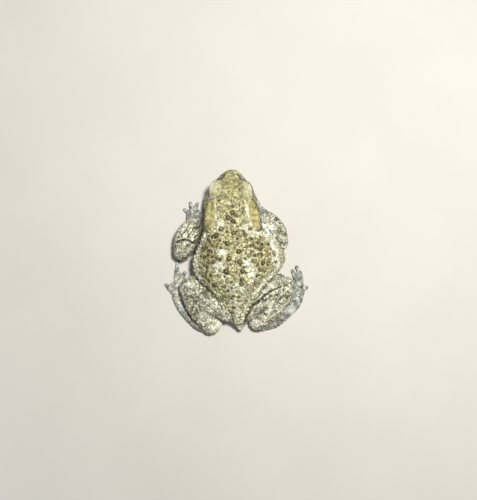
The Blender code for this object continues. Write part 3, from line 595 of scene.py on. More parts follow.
body = {
    "softVoxel": 0.45, "softPasses": 12, "softShare": 0.5,
    "voxel": 0.27, "passes": 4, "share": 0.45, "digitShare": 0.2,
    "triangles": 188000,
    "keepFacing": 0.25, "keepAbove": 11.0,                  # where every point of the skin is kept
}

# masks: none of it at the first distance in millimetres, all of it at the second
maskReach = {"sole": (2.0, 1.0), "palm": (1.6, 0.6), "digit": (2.6, 1.9), "limb": (0.9, 0.2)}
digitHeights = {"middle": 1.2, "tip": 0.8}

softParts = [trunkSurface(trunk["rows"]), ballSurface(*trunk["vent"])] + headSurfaces()
softPoints, softQuads, softEdges = oneSkin(softParts, body["softVoxel"])
softPoints = relaxed(softPoints, softEdges, body["softShare"], body["softPasses"])
print("head and trunk run together:", len(softPoints), "points")

allParts = [(softPoints, softQuads, np.empty((0, 3), int))]
allParts += [tubeSurface(rows) for rows in limbs.values()]
allParts += [glandSurface(sideName) for sideName in ("left", "right")]
for sideName in ("left", "right"):
    allParts += handSurfaces(hands[sideName]) + footSurfaces(feet[sideName])
points, quads, edges = oneSkin(allParts, body["voxel"])
print("whole skin:", len(points), "points,", 2 * len(quads), "triangles")


def limbDistance(points, rows, count=14, margin=9.0):
    # distance from the limb's own skin, near enough: distance from its axis less its radius there,
    # worked out only for the points within the margin of its axis
    table = np.array(rows, float)
    steps = np.linalg.norm(np.diff(table[:, :3], axis=0), axis=1)
    even = smoothRows(np.concatenate([[0.0], np.cumsum(steps)]), table, count)
    reach = np.full(len(points), 1e9)
    low, high = even[:, :3].min(0) - margin, even[:, :3].max(0) + margin
    near = np.flatnonzero(((points > low) & (points < high)).all(axis=1))
    for row in even:
        apart = np.linalg.norm(points[near] - row[:3], axis=1) - row[3:5].mean()
        reach[near] = np.minimum(reach[near], apart)
    return reach


digitRoutes = []
digitParts = []
for foot in feet.values():
    digitParts.append(smoothStep(*maskReach["sole"], limbDistance(points, foot["sole"])))
    for middle, tip in foot["toes"]:
        bend = middle + (digitHeights["middle"],)
        digitRoutes.append((foot["sole"][-1][:3], bend, tip + (digitHeights["tip"],)))
for hand in hands.values():
    digitParts.append(smoothStep(*maskReach["palm"], limbDistance(points, hand["palm"])))
    digitRoutes += [(hand["palm"][1][:3], tip + (digitHeights["tip"],)) for tip in hand["tips"]]
digitParts += [smoothStep(*maskReach["digit"], routeDistance(points, route)) for route in digitRoutes]
digitMask = np.maximum.reduce(digitParts)
limbReach = np.min([limbDistance(points, rows) for rows in limbs.values()], axis=0)
limbMask = np.maximum(smoothStep(*maskReach["limb"], limbReach), digitMask)

share = body["share"] + (body["digitShare"] - body["share"]) * digitMask
points = relaxed(points, edges, share, body["passes"])
normals = outward(points, quads)
print("limbs found on the skin")


# Folds and features

markNames = ("slitShade", "gland", "rim", "lid", "dark", "light", "knob", "brown")
marks = {name: np.zeros(len(points)) for name in markNames}


def pushed(points, normals, amount):
    # each point moved out along its normal by its amount
    return points + normals * amount[:, None]


def addMark(name, values, where=slice(None)):
    # the mark becomes the larger of what it was and the new values
    marks[name][where] = np.maximum(marks[name][where], values)


def openEyes(points, side):
    # distance from the eye's middle as a function of e, the way out from the middle of the
    # opening in shares of its half length and half height: behind the eye where e is under 1,
    # then a wall up to the lid's edge, a bead on it, and the old skin further out and further off
    local = toEye(points, side)
    distance = np.linalg.norm(local, axis=1)
    near = np.flatnonzero((distance < eye["near"]) & (local[:, 0] > 0.2 * distance))
    unit = local[near] / distance[near, None]
    length, height = np.array(eye["opening"]) / eye["radius"]
    e = np.hypot(unit[:, 1] / length, unit[:, 2] / height)
    wanted = e.copy()
    for low, high, place in eye["edges"]:
        wanted[(e >= low) & (e < high)] = place
    turned = unit[:, 1:] * (wanted / np.maximum(e, 1e-6))[:, None]
    unit = np.column_stack([np.sqrt(np.clip(1 - (turned**2).sum(axis=1), 0.01, None)), turned])
    rim = eye["radius"] + eye["lidThickness"]
    old = distance[near]
    lidTop = np.clip(old, rim, rim + 0.25) + eye["bead"] * hump(wanted - 1.14, 0.1)
    fold = -sum(depth * hump(wanted - place, width) for depth, place, width in eye["lidFolds"])
    away = smoothStep(4.9, 6.3, old) * smoothStep(1.08, 1.3, wanted)
    back = np.maximum(smoothStep(1.12, 1.5, wanted), away)
    outside = lidTop + (old - lidTop) * back + fold * smoothStep(6.3, 5.6, old)
    new = np.where(wanted < 0.96, eye["socket"], outside)
    new = np.where(wanted > 2.0, old, new)
    result = points.copy()
    result[near] = fromEye(unit * new[:, None], side)
    # the lid's edge is relaxed a little, and the skin that was drawn far in a lot
    lidEdge, strained = np.zeros(len(points)), np.zeros(len(points))
    lidEdge[near] = hump(wanted - 1.12, 0.14)
    strained[near] = smoothStep(5.2, 6.0, old) * smoothStep(1.02, 1.12, wanted) * smoothStep(2.1, 1.6, wanted)
    for share, passes in ((lidEdge, 3), (strained, 14)):
        result = result + 0.85 * share[:, None] * (relaxed(result, edges, 0.5, passes) - result)
    return result, near, wanted


def mouthFeatures(points, normals):
    # groove along the line of the mouth, with a bead above it and one below it
    local = toHead(points)
    above = local[:, 2] - mouthLine(local[:, 1])
    ahead = smoothStep(head["mouthCorner"] - 0.5, head["mouthCorner"] + 1.5, local[:, 1])
    sideways = smoothStep(0.25, 0.6, np.hypot(normals[:, 0], normals[:, 1]))
    mask = ahead * sideways
    snapped = (np.abs(above) < 0.15) & (mask > 0.3)
    result = points.copy()
    result[snapped, 2] -= above[snapped]
    above = np.where(snapped, 0.0, above)
    depth = -head["mouthDepth"] * hump(above, 0.26)
    lips = sum(height * hump(above - place, width) for height, place, width in head["lipBeads"])
    return pushed(result, normals, mask * (depth + lips)), mask * hump(above, 0.3)


def headLines(points, normals):
    # dark lines of the head: a bell curve across each route, on the upper side of the head
    dark = np.zeros(len(points))
    for side, column in ((-1, 2), (1, 3)):
        local = toHead(points, side)
        upper = smoothStep(*head["lineHeights"], local[:, 2]) * smoothStep(-0.3, 0.0, normals[:, 2])
        upper = upper * (local[:, 0] > 0)
        for line in head["lines"]:
            apart = routeDistance(local[:, :2], line[0])
            dark = np.maximum(dark, line[column] * hump(apart, line[1]) * upper)
    return dark


def nearestOnSkin(points, place):
    # the point of the skin that is nearest to the place
    return points[np.argmin(np.linalg.norm(points - place, axis=1))]


def nostrilFeatures(points, normals, side):
    # pit with a low rim, drawn out along the ridge of the snout
    local = toHead(points, side) - toHead(nearestOnSkin(points, toToad(head["nostril"], side)), side)
    reach = np.sqrt((local[:, 0] * 1.1) ** 2 + (local[:, 1] * 0.75) ** 2 + local[:, 2] ** 2)
    radius = head["nostrilRadius"]
    pit = -head["nostrilDepth"] * np.exp(-(reach / radius) ** 4)
    rim = head["nostrilRim"] * hump(reach - 1.9 * radius, 0.3)
    return pushed(points, normals, pit + rim), hump(reach, radius * 1.1)


def eardrumFeatures(points, normals, side):
    # round dish with a raised ring, on the skin nearest to the place beside the head
    centre = nearestOnSkin(points, toToad(head["eardrum"], side))
    reach = np.linalg.norm(points - centre, axis=1)
    radius = head["eardrumRadius"]
    ring = head["eardrumRing"] * hump(reach - radius, 0.3)
    dish = -head["eardrumDish"] * smoothStep(radius, radius * 0.5, reach)
    return pushed(points, normals, ring + dish), smoothStep(radius * 1.1, radius * 0.7, reach)


# the slit marks are painted shade in the gap round each eye, the groove of the mouth and the pits of the
# nostrils
for side in (-1, 1):
    points, nearEye, wayOut = openEyes(points, side)
    addMark("slitShade", smoothStep(1.07, 0.99, wayOut), nearEye)
marks["slitShade"] = relaxed(marks["slitShade"], edges, 0.5, 1)
normals = outward(points, quads)
points, slitShade = mouthFeatures(points, normals)
addMark("slitShade", slitShade)
drumMask = np.zeros(len(points))
for side in (-1, 1):
    points, slitShade = nostrilFeatures(points, normals, side)
    addMark("slitShade", slitShade)
    points, drum = eardrumFeatures(points, normals, side)
    drumMask = np.maximum(drumMask, drum)
marks["line"] = headLines(points, normals)
points = pushed(points, normals, -head["lineDepth"] * marks["line"] * (toHead(points)[:, 1] > 2.0))
for route, height, width in trunk["bones"]:
    points = pushed(points, normals, height * hump(routeDistance(points, route), width))
print("eyes, mouth, nostrils and eardrums made")

folds = {
    # creases seen from above: route, half width, depth, and darkness of the painted shade in it
    "creases": (
        # right shank against thigh and rump
        (((22.8, -18.1), (17.4, -20.2), (13.9, -22.7), (11.0, -25.8), (9.4, -27.2)), 0.5, 1.0, 1.0),
        (((9.4, -27.2), (7.8, -28.6), (5.9, -31.8), (5.0, -35.4), (5.2, -38.5)), 0.8, 1.1, 1.0),
        # right thigh against flank, and ankle against shank
        (((19.1, -11.9), (14.8, -17.9), (7.8, -24.6)), 0.3, 0.45, 0.8),
        (((13.9, -35.9), (22.2, -29.8), (25.4, -27.7)), 0.26, 0.3, 0.35),
        # left thigh against flank and rump
        (((-20.1, -14.0), (-17.1, -17.0), (-12.8, -20.4), (-10.7, -22.7), (-9.1, -25.5)), 0.32, 0.55, 1.0),
        (((-5.9, -28.5), (-3.4, -30.8), (-2.2, -33.5), (-1.5, -37.0)), 0.34, 0.6, 0.9),
        (((-5.4, -32.7), (-2.6, -36.3)), 0.26, 0.3, 0.7),
        # under the end of the rump
        (((-1.5, -37.0), (1.0, -37.7), (3.4, -36.9)), 0.26, 0.35, 0.7),
        # left shank against thigh
        (((-25.0, -19.6), (-20.6, -22.6), (-14.6, -27.4), (-8.6, -32.6)), 0.3, 0.4, 0.5),
        # left forearm against flank, right upper arm against flank
        (((-17.4, 13.4), (-18.8, 8.0), (-20.4, 3.4), (-21.8, -0.6)), 0.95, 0.7, 0.95),
        (((13.9, 16.0), (18.0, 9.8), (21.7, 6.1), (24.8, 3.6)), 0.34, 0.5, 0.85),
        # left elbow and the folds of the forearm in front of it
        (((-30.9, 5.2), (-29.0, 6.3), (-27.0, 6.6), (-24.5, 6.2), (-22.1, 4.8)), 0.5, 0.9, 1.0),
        (((-24.2, 15.3), (-26.0, 12.2), (-27.6, 9.6), (-28.6, 7.8)), 0.36, 0.5, 0.85),
        (((-21.9, 13.7), (-22.7, 11.1), (-24.5, 8.6), (-26.3, 6.6)), 0.36, 0.5, 0.85),
        (((-26.0, 12.2), (-24.6, 10.4), (-23.9, 9.4)), 0.28, 0.35, 0.6),
        (((-29.6, 10.0), (-30.4, 7.4)), 0.28, 0.35, 0.5),
    ),
    # front and outer edge of the right lid
    "headCreases": (
        (((2.9, 37.5), (4.9, 36.9), (6.6, 35.9), (7.7, 34.4), (8.2, 32.6), (8.3, 31.0)), 0.4, 0.1, 1.0),
    ),
    "headLowest": 16.4,
    "wander": (0.14, 3.0),                                  # how far the creases stray, and over what length
    "trunkLines": (3.4, 0.12),                              # spacing and depth of the flanks' wrinkles
    "trunkLinesFade": (24.0, 18.0),                         # heights with none of them and all of them
}


def foldFeatures(points, normals):
    # a crease is a bell curve across its route, on skin that faces up; the flanks' wrinkles
    # lie where a slow noise passes through zero
    crease = np.zeros(len(points))
    lift = np.zeros(len(points))
    facing = smoothStep(-0.1, 0.25, normals[:, 2])
    high = facing * smoothStep(0.0, 1.2, points[:, 2] - folds["headLowest"])
    swing, size = folds["wander"]
    wander = swing * waves(points, size, seeds["wander"])
    xy = points[:, :2] + np.column_stack([wander, -wander])
    routes = [(item, facing) for item in folds["creases"]] + [(item, high) for item in folds["headCreases"]]
    # the darkness laid along each crease and fold is painted shade
    for (route, width, depth, darkness), where in routes:
        across = hump(routeDistance(xy, route), width) * where
        crease = np.maximum(crease, darkness * across)
        lift = np.minimum(lift, -depth * across)
    spacing, depth = folds["trunkLines"]
    wrinkle = hump(waves(points * (1, 0.6, 1), spacing, seeds["wrinkle"]), 0.12)
    lift -= depth * wrinkle * smoothStep(*folds["trunkLinesFade"], points[:, 2]) * (1 - digitMask)
    return lift, crease


lift, marks["crease"] = foldFeatures(points, normals)
points = pushed(points, normals, lift)
normals = outward(points, quads)
print("folds made")


def glandFeatures(points, normals, sideName):
    # seen from above a gland is a long oval: it swells inside, with a groove round its edge
    start, end = np.array(glands["ends"][sideName])[:, :2]
    way = end - start
    share = np.clip((points[:, :2] - start) @ way / (way @ way), 0, 1)
    reach = np.linalg.norm(points[:, :2] - start - share[:, None] * way, axis=1)
    # widest at the middle and narrower towards both ends, as half an oval
    edge = glands["plan"] * (0.72 + 0.28 * np.sin(np.pi * share))
    t = reach / edge
    upper = smoothStep(*glands["heights"], points[:, 2]) * smoothStep(-0.2, 0.1, normals[:, 2])
    swell = glands["swell"] * np.sqrt(np.clip(1 - t * t, 0, None))
    outer = np.sign((points[:, 0] - start[0] - share * way[0]) * (1 if sideName == "right" else -1))
    groove = glands["groove"] * hump(t - 1.08, 0.13) * np.where(outer > 0, 1.0, 0.4)
    addMark("gland", smoothStep(1.04, 0.9, t) * upper)
    # the dark line along the outer edge is painted shade, stronger on the right gland
    strength = 1.0 if sideName == "right" else 0.6
    addMark("crease", strength * hump(t - 1.13, 0.21) * upper * (outer > 0))
    addMark("rim", hump(t - 0.98, 0.16) * upper * (outer < 0))
    return (swell - groove) * upper


lift = glandFeatures(points, normals, "left") + glandFeatures(points, normals, "right")
points = pushed(points, normals, lift)
normals = outward(points, quads)
print("glands raised")


# Warts: the large ones of the back stand where the list says, the rest are drawn at random

wartSpots = (                                               # x, y, radius, darkness
    (-8.6, 22.0, 1.1, 0.6), (-1.9, 20.0, 1.2, 1.0), (-4.2, 17.2, 1.15, 1.0), (-1.4, 15.5, 1.15, 1.0),
    (-7.7, 11.7, 1.2, 0.9), (-10.2, 8.3, 1.25, 1.0), (-1.4, 9.5, 1.15, 0.9), (4.5, 8.6, 1.1, 0.8),
    (7.0, 11.7, 0.9, 0.8), (3.6, 22.3, 0.8, 0.6), (-4.5, 4.2, 1.25, 1.0), (1.1, 0.2, 1.25, 1.0),
    (-3.6, -3.3, 1.25, 1.0), (1.7, -5.2, 1.15, 0.9), (6.7, -1.8, 1.1, 0.6), (9.1, -4.8, 1.1, 0.7),
    (13.4, -5.8, 1.1, 0.7), (16.2, -5.8, 1.1, 0.6), (14.2, -9.2, 1.15, 0.6), (-5.1, -9.9, 1.5, 1.0),
    (3.0, -9.9, 1.15, 0.9), (2.8, -14.0, 1.1, 1.0), (2.6, -16.1, 1.15, 1.0), (9.8, -15.8, 1.1, 0.8),
    (-4.5, -14.6, 1.0, 0.7), (-11.5, -4.9, 1.1, 0.9), (19.2, -0.8, 1.1, 0.7), (-16.5, 1.4, 1.1, 0.9),
    (1.6, 5.0, 0.9, 0.4), (-8.3, 6.0, 0.8, 0.5), (4.2, 15.4, 0.8, 0.4), (12.6, 2.6, 1.0, 0.7),
    (-11.6, -17.2, 1.1, 0.8), (-8.2, -12.0, 0.9, 0.6), (6.4, -19.0, 0.9, 0.6), (1.0, -20.4, 0.9, 0.5),
)

smallSpots = (                                              # x, y, radius, darkness
    (-4.7, 10.5, 0.6, 0.9), (0.3, 10.4, 0.45, 0.7), (0.9, 6.5, 0.5, 0.9), (-4.7, 7.4, 0.8, 0.35),
    (-7.6, 2.0, 0.65, 0.7), (-5.2, 1.4, 0.4, 0.6), (-8.1, -3.8, 0.65, 0.9), (-9.9, -3.1, 0.6, 0.8),
    (-12.2, -2.7, 0.5, 0.8), (-14.2, -1.5, 0.7, 1.0), (-16.0, -2.5, 0.8, 0.9), (-18.0, -2.0, 0.6, 1.0),
    (-13.4, 0.8, 0.6, 0.9), (-12.4, -0.5, 0.45, 0.8), (-15.7, 3.5, 0.6, 1.0), (-14.7, 2.3, 0.6, 1.0),
    (-13.3, 5.6, 0.7, 1.0), (-17.3, 2.3, 0.55, 0.9), (-17.5, 0.2, 0.5, 0.8), (-12.2, 7.7, 0.6, 0.9),
    (-13.9, 8.2, 0.5, 0.7), (-14.5, 6.7, 0.5, 0.8), (-12.0, 3.0, 0.5, 0.7), (-9.7, 3.0, 0.45, 0.7),
    (-14.7, -7.7, 0.75, 1.0), (-16.1, -6.9, 0.5, 0.9), (-18.8, -7.6, 0.55, 0.9), (-17.0, -5.9, 0.45, 0.8),
    (-12.4, -6.9, 0.5, 0.4), (-18.9, -10.5, 0.6, 0.9), (-15.7, -11.3, 0.6, 1.0), (-13.0, -11.8, 0.7, 0.9),
    (-14.8, -9.9, 0.5, 0.9), (-16.9, -12.3, 0.6, 0.9), (-8.7, -6.7, 0.4, 0.4), (-11.2, -8.4, 0.5, 0.5),
    (-10.8, -10.0, 0.4, 0.4), (-8.9, -11.8, 0.8, 0.4), (-5.9, -12.4, 0.5, 0.9), (-1.5, -12.3, 0.4, 0.5),
    (-0.4, -4.9, 0.4, 0.7), (-2.1, -0.3, 0.4, 0.5), (3.7, 10.5, 0.6, 0.7), (7.7, 6.5, 0.65, 0.9),
    (12.0, 7.8, 0.45, 0.9), (10.6, 4.5, 0.65, 0.8), (13.1, 3.9, 0.6, 0.8), (11.6, 5.9, 0.5, 0.5),
    (7.3, 2.9, 0.7, 0.7), (9.3, 2.3, 0.6, 0.6), (5.4, 2.9, 0.5, 0.5), (11.0, 1.6, 0.5, 0.8),
    (12.5, 0.8, 0.5, 0.8), (7.8, 0.2, 0.6, 0.7), (16.1, 4.0, 0.7, 0.8), (13.0, -1.4, 0.65, 0.8),
    (9.0, -1.7, 0.6, 0.8), (4.7, -0.7, 0.35, 0.8), (10.6, -7.0, 0.45, 0.8), (11.6, -8.5, 0.5, 0.9),
    (10.3, -12.3, 0.65, 0.8), (9.5, -9.5, 0.4, 0.5), (3.8, -7.6, 0.5, 0.9), (2.3, -7.0, 0.4, 0.8),
    (5.1, -7.1, 0.4, 0.5), (5.1, -10.4, 0.5, 0.8), (17.2, 6.3, 0.4, 0.7), (20.0, -4.9, 0.6, 0.7),
    (4.7, -3.6, 0.5, 0.7), (-15.4, -13.1, 0.6, 0.9), (-16.6, -14.4, 0.6, 0.9), (-13.8, -14.9, 0.75, 1.0),
    (-11.0, -16.7, 0.8, 0.9), (-14.3, -17.5, 0.7, 0.9), (-2.3, -15.2, 0.5, 0.7), (-5.7, -17.8, 0.5, 0.7),
    (-4.1, -19.5, 0.6, 0.8), (-2.4, -18.2, 0.5, 0.7), (-7.0, -17.5, 0.4, 0.8), (-5.7, -20.0, 0.5, 0.6),
    (-1.6, -22.3, 0.65, 0.8), (1.5, -22.8, 0.65, 0.7), (-2.3, -23.6, 0.5, 0.8), (-5.4, -22.4, 0.7, 0.7),
    (-7.2, -24.4, 0.9, 0.4), (1.5, -24.9, 0.7, 0.4), (-1.6, -25.6, 0.6, 0.5), (-4.9, -26.2, 0.5, 0.7),
    (-1.3, -28.2, 0.7, 0.9), (-1.9, -30.8, 0.6, 0.8), (1.2, -19.6, 0.5, 0.4), (2.2, -28.4, 0.4, 0.7),
    (0.4, -31.2, 0.4, 0.7), (1.9, -33.4, 0.4, 0.7), (-0.6, -34.4, 0.35, 0.6), (5.2, -24.6, 0.5, 0.6),
    (-4.9, 35.1, 0.9, 0.4), (-4.5, 32.7, 0.5, 0.5), (-9.3, 31.9, 0.45, 0.9), (2.0, 31.7, 0.6, 0.8),
    (3.1, 33.1, 0.7, 0.4), (-2.0, 29.5, 0.55, 0.6), (-0.8, 27.6, 0.65, 0.8), (-8.7, 26.2, 0.5, 0.7),
    (-5.3, 27.4, 0.5, 0.5), (-10.3, 24.6, 0.45, 0.7), (-2.8, 26.2, 0.4, 0.5), (2.6, 28.3, 0.45, 0.7),
    (3.4, 29.4, 0.4, 0.6), (5.2, 25.8, 0.45, 0.8), (5.1, 27.5, 0.45, 0.5), (1.4, 24.4, 0.55, 0.7),
    (0.0, 24.6, 0.4, 0.6), (3.5, 25.6, 0.35, 0.6), (-1.8, 23.4, 0.6, 1.0), (-4.5, 23.0, 0.7, 0.4),
    (-0.8, 19.1, 0.6, 0.9), (3.5, 20.0, 0.4, 0.7), (1.6, 18.1, 0.4, 0.4), (-5.5, 21.2, 0.45, 0.5),
    (-7.7, 17.5, 0.4, 0.5), (-9.3, 17.1, 0.4, 0.5), (-11.7, 27.4, 0.5, 0.9), (-11.5, 29.6, 0.4, 0.7),
)

# routes seen from above along which large pale tubercles stand, with the width of the band
paleBands = (
    (((7.6, 9.9), (11.3, 9.9), (14.6, 9.0), (17.6, 6.0), (19.3, 2.2), (20.6, -2.4), (21.4, -6.6)), 1.2),
    (((21.4, -6.6), (20.2, -9.9), (17.0, -12.6), (15.0, -14.5), (9.8, -21.6)), 0.9),
    (
        (
            (-15.4, 9.2), (-17.6, 7.0), (-19.8, 2.2), (-20.8, -2.8), (-21.0, -7.5),
            (-19.9, -11.5), (-17.4, -14.6),
        ),
        1.1,
    ),
    (((13.8, 14.6), (16.8, 11.4), (19.6, 7.6)), 1.7),
)

# heights are in shares of the radius, and a low steepness gives a flat top
largeWarts = {"height": 0.42, "steep": 0.62}
spotWarts = {
    "height": 0.3, "steep": 0.8, "size": 1.45,
    "headFrom": 24.0, "headSize": 1.15, "headDarkness": 0.7,  # smaller and paler on the head
}
tubercles = {"height": 0.55, "steep": 1.0, "radius": (0.5, 1.25), "spacing": 0.8}
randomWarts = {
    # radius from and to, room round each in shares of the radii, height, steepness, tries
    "flank": {"radius": (0.35, 1.05), "room": 1.05, "height": 0.58, "steep": 1.0, "tries": 3200},
    "back": {"radius": (0.3, 0.95), "room": 1.15, "height": 0.46, "steep": 0.8, "tries": 5200},
    "limb": {"radius": (0.3, 0.85), "room": 1.25, "height": 0.42, "steep": 0.8, "tries": 4200},
    "head": {"radius": (0.25, 0.5), "room": 1.35, "height": 0.34, "steep": 0.8, "tries": 2000},
    "digit": {"radius": (0.25, 0.4), "room": 1.5, "height": 0.2, "steep": 0.8, "tries": 900},
}
kinds = {"random": 0, "large": 1, "tubercle": 2, "spot": 3}
wartDraw = np.random.default_rng(seeds["warts"])

# where each area of the skin begins and where it is full
areas = {
    "head": (-9.5, -7.0),                                   # way forward in the head's frame
    "headColour": (-9.0, -2.0),
    "vent": (-34.0, -36.0),                                 # way forward in the toad's
    "flank": (20.5, 16.0),                                  # height
    "lowSkin": (12.5, 6.5),
    "bands": (5.0, 9.0),
    "shadedLow": (13.5, 11.5),
    "belly": (0.1, -0.55),                                  # upward part of the normal
    "bareUnder": (-0.1, -0.6),
    "paleUnder": (0.0, -0.6),
    "eyelids": (5.6, 5.0),                                  # distance from the middle of the eye
    "foldedArm": (1.2, 0.4),                                # distance outside the limb
    "shadedArm": (1.0, 0.3),
    "apart": (0.2, 1.2),
    "ankle": (1.6, 0.2),
    "creases": (0.3, 0.7),                                  # darkness of the crease
    "lid": (1.3, 1.02),                                     # shares of the lid's half sizes
    "lidSide": (-2.4, 1.2),                                 # way outward and forward over the lid
    "lidEdge": (1.4, 3.8),
}
headMask = smoothStep(*areas["head"], toHead(points)[:, 1]) * (1 - limbMask)
bellyMask = smoothStep(*areas["belly"], normals[:, 2]) * (1 - limbMask)
flankMask = smoothStep(*areas["flank"], points[:, 2]) * (1 - headMask) * (1 - limbMask) * (1 - bellyMask)
featureMask = np.maximum(marks["slitShade"], drumMask)
for side in (-1, 1):
    local = toEye(points, side)
    eyelids = smoothStep(*areas["eyelids"], np.linalg.norm(local, axis=1)) * (local[:, 0] > 2.0)
    featureMask = np.maximum(featureMask, eyelids)
# no random warts on the glands, the features, the underside and the creases, or round the vent
bare = np.maximum.reduce([
    marks["gland"], featureMask,
    smoothStep(*areas["bareUnder"], normals[:, 2]),
    smoothStep(*areas["creases"], marks["crease"]),
    smoothStep(*areas["vent"], points[:, 1]) * (1 - limbMask),
])
# nor on the left forearm in front of the elbow, which is smooth and folded
foldedArm = smoothStep(*areas["foldedArm"], limbDistance(points, limbs["forearmLeft"]))
foldedArm = foldedArm * (points[:, 1] > 4.0)
regions = {
    "flank": flankMask * (1 - bare),
    "back": (1 - flankMask) * (1 - headMask) * (1 - limbMask) * (1 - bare),
    "limb": limbMask * (1 - digitMask) * (1 - bare) * (1 - foldedArm),
    "head": headMask * (1 - bare),
    "digit": digitMask * (1 - bare),
}


def scatterWarts(points, normals):
    # rows of x, y, z, radius, height, steepness, darkness and kind: first the listed warts and the
    # tubercles of the pale bands, then random points of each region, evenly spread and largest
    # first, kept where the distance to every other wart is over the room for both radii
    top = np.flatnonzero(normals[:, 2] > 0.15)
    listed = []

    def addWart(x, y, radius, form, darkness, kind):
        # on the skin seen from above at x and y: the nearest point, less a little for its height
        apart = np.hypot(points[top, 0] - x, points[top, 1] - y) - points[top, 2] * 0.02
        place = points[top[np.argmin(apart)]]
        listed.append((*place, radius, form["height"] * radius, form["steep"], darkness, kinds[kind]))

    for x, y, radius, darkness in wartSpots:
        addWart(x, y, radius, largeWarts, darkness, "large")
    for x, y, radius, darkness in smallSpots:
        onHead = y > spotWarts["headFrom"]
        size = spotWarts["headSize" if onHead else "size"]
        shade = spotWarts["headDarkness"] if onHead else 1.0
        addWart(x, y, size * radius, spotWarts, shade * darkness, "spot")
    for route, width in paleBands:
        route = np.array(route)
        lengths = np.concatenate([[0.0], np.cumsum(np.linalg.norm(np.diff(route, axis=0), axis=1))])
        along = np.arange(0.0, lengths[-1], tubercles["spacing"])
        along = along + wartDraw.uniform(-0.3, 0.3, len(along))
        aside = wartDraw.uniform(-1, 1, len(along)) * width
        radii = wartDraw.uniform(*tubercles["radius"], len(along))
        x, y = np.interp(along, lengths, route[:, 0]) + aside, np.interp(along, lengths, route[:, 1])
        for place in zip(x, y, radii):
            addWart(*place, tubercles, 0.0, "tubercle")

    count = len(listed)
    kept = np.empty((count + sum(kind["tries"] for kind in randomWarts.values()), 8))
    kept[:count] = listed
    for name, kind in randomWarts.items():
        spots = points[wartDraw.choice(np.flatnonzero(regions[name] > 0.5), kind["tries"])]
        low, high = kind["radius"]
        radii = low + (high - low) * np.sort(wartDraw.uniform(0, 1, len(spots)) ** 2.2)[::-1]
        levels = wartDraw.uniform(0.05, 0.85, len(spots))
        for spot, radius, darkness in zip(spots, radii, levels):
            apart = np.linalg.norm(kept[:count, :3] - spot, axis=1)
            if (apart > (kept[:count, 3] + radius) * kind["room"]).all():
                height = kind["height"] * radius
                kept[count] = (*spot, radius, height, kind["steep"], darkness, kinds["random"])
                count += 1
    return kept[:count]


warts = scatterWarts(points, normals)
print("warts:", len(warts))

# random warts are darker on the left flank and in the brown field of the right one
leftFlankDark = blots(warts[:, :2], ((-15.0, -3.0, 6.0, 13.0, 1.0), (-13.0, 6.0, 4.0, 5.0, 0.8)))
rightBrown = blots(warts[:, :2], ((11.5, 3.5, 6.0, 4.5, 1.0),))
strength = np.clip(warts[:, 6] * (0.7 + 0.3 * leftFlankDark + 0.3 * rightBrown), 0, 1)
warts[:, 6] = np.where(warts[:, 7] == kinds["random"], strength, warts[:, 6])

wartPaint = {
    "reach": 1.7,                                           # a wart changes the skin this many radii out
    "shadeAim": 3.9,                                        # direction of its painted shade, its darkest side: rear left
    "brownFrom": 0.6,                                       # random warts darker than this are brown all over
}


def wartFeatures(points, warts):
    # dome: height times (1 - t^2) to the power of its steepness, t being the distance in radii,
    # with a shallow moat round it, and on a large wart a pore in its middle
    lift = np.zeros(len(points))
    order = np.argsort(points[:, 0])
    sortedX = points[order, 0]
    reach = wartPaint["reach"]
    for x, y, z, radius, height, steep, darkness, kind in warts:
        low, high = np.searchsorted(sortedX, (x - reach * radius, x + reach * radius))
        near = order[low:high]
        t = np.linalg.norm(points[near] - (x, y, z), axis=1) / radius
        near, t = near[t < reach], t[t < reach]
        dome = height * np.clip(1 - t * t, 0, None) ** steep
        pore = 0.3 * height * hump(t, 0.25) * (kind == kinds["large"])
        moat = 0.1 * height * hump(t - 1.25, 0.2)
        lift[near] = np.where(dome > lift[near], dome - pore, lift[near]) - moat
        paintWart(points[near] - (x, y, z), near, t, darkness, kind)
    return lift


def paintWart(way, near, t, darkness, kind):
    # bell curves and steps of t, the distance from the wart's middle in radii
    middle = smoothStep(1.0, 0.5, t)
    # highest on the rear left side of the wart, where painted shade is added to its dark marks
    shaded = np.cos(np.arctan2(way[:, 1], way[:, 0]) - wartPaint["shadeAim"])
    if kind == kinds["large"]:
        # dark ring round a paler middle, with a brown edge; the ring is the wart's own marking, darker on its
        # rear left by painted shade
        ring = smoothStep(1.16, 0.96, t) * smoothStep(0.12, 0.45, t)
        addMark("dark", ring * darkness * (0.95 + 0.15 * shaded), near)
        addMark("brown", 0.55 * darkness * smoothStep(1.25, 0.95, t), near)
    elif kind == kinds["spot"]:
        patch = smoothStep(1.08, 0.82, t) * min(1.0, 1.3 * darkness)
        addMark("dark", patch * (0.9 + 0.2 * shaded * smoothStep(0.2, 0.6, t)), near)
        addMark("brown", 0.5 * darkness * smoothStep(1.18, 0.95, t), near)
    elif kind == kinds["tubercle"]:
        addMark("knob", middle, near)
    elif darkness > wartPaint["brownFrom"]:
        addMark("brown", 0.8 * middle, near)
        addMark("dark", darkness * hump(t - 0.7, 0.4), near)
    else:
        addMark("light", middle * smoothStep(0.5, 0.1, darkness), near)
        addMark("dark", 0.6 * darkness * hump(t - 1.05, 0.3), near)


relief = {
    "grain": (0.035, 0.9, 20),                              # height, size and number of waves
    "hollowShade": 0.03,                                         # a point this deep below its neighbours gets the full painted shade
    "deepShade": (0.15, 0.42),                                   # the same over a broad stretch, from and to
}
lift = wartFeatures(points, warts)
height, size, count = relief["grain"]
grain = height * waves(points, size, seeds["grain"], count) * (1 - featureMask) * (1 - 0.6 * marks["gland"])
points = pushed(points, normals, (lift + grain) * (1 - featureMask))
points[:, 2] = np.maximum(points[:, 2], 0.0)
normals = outward(points, quads)
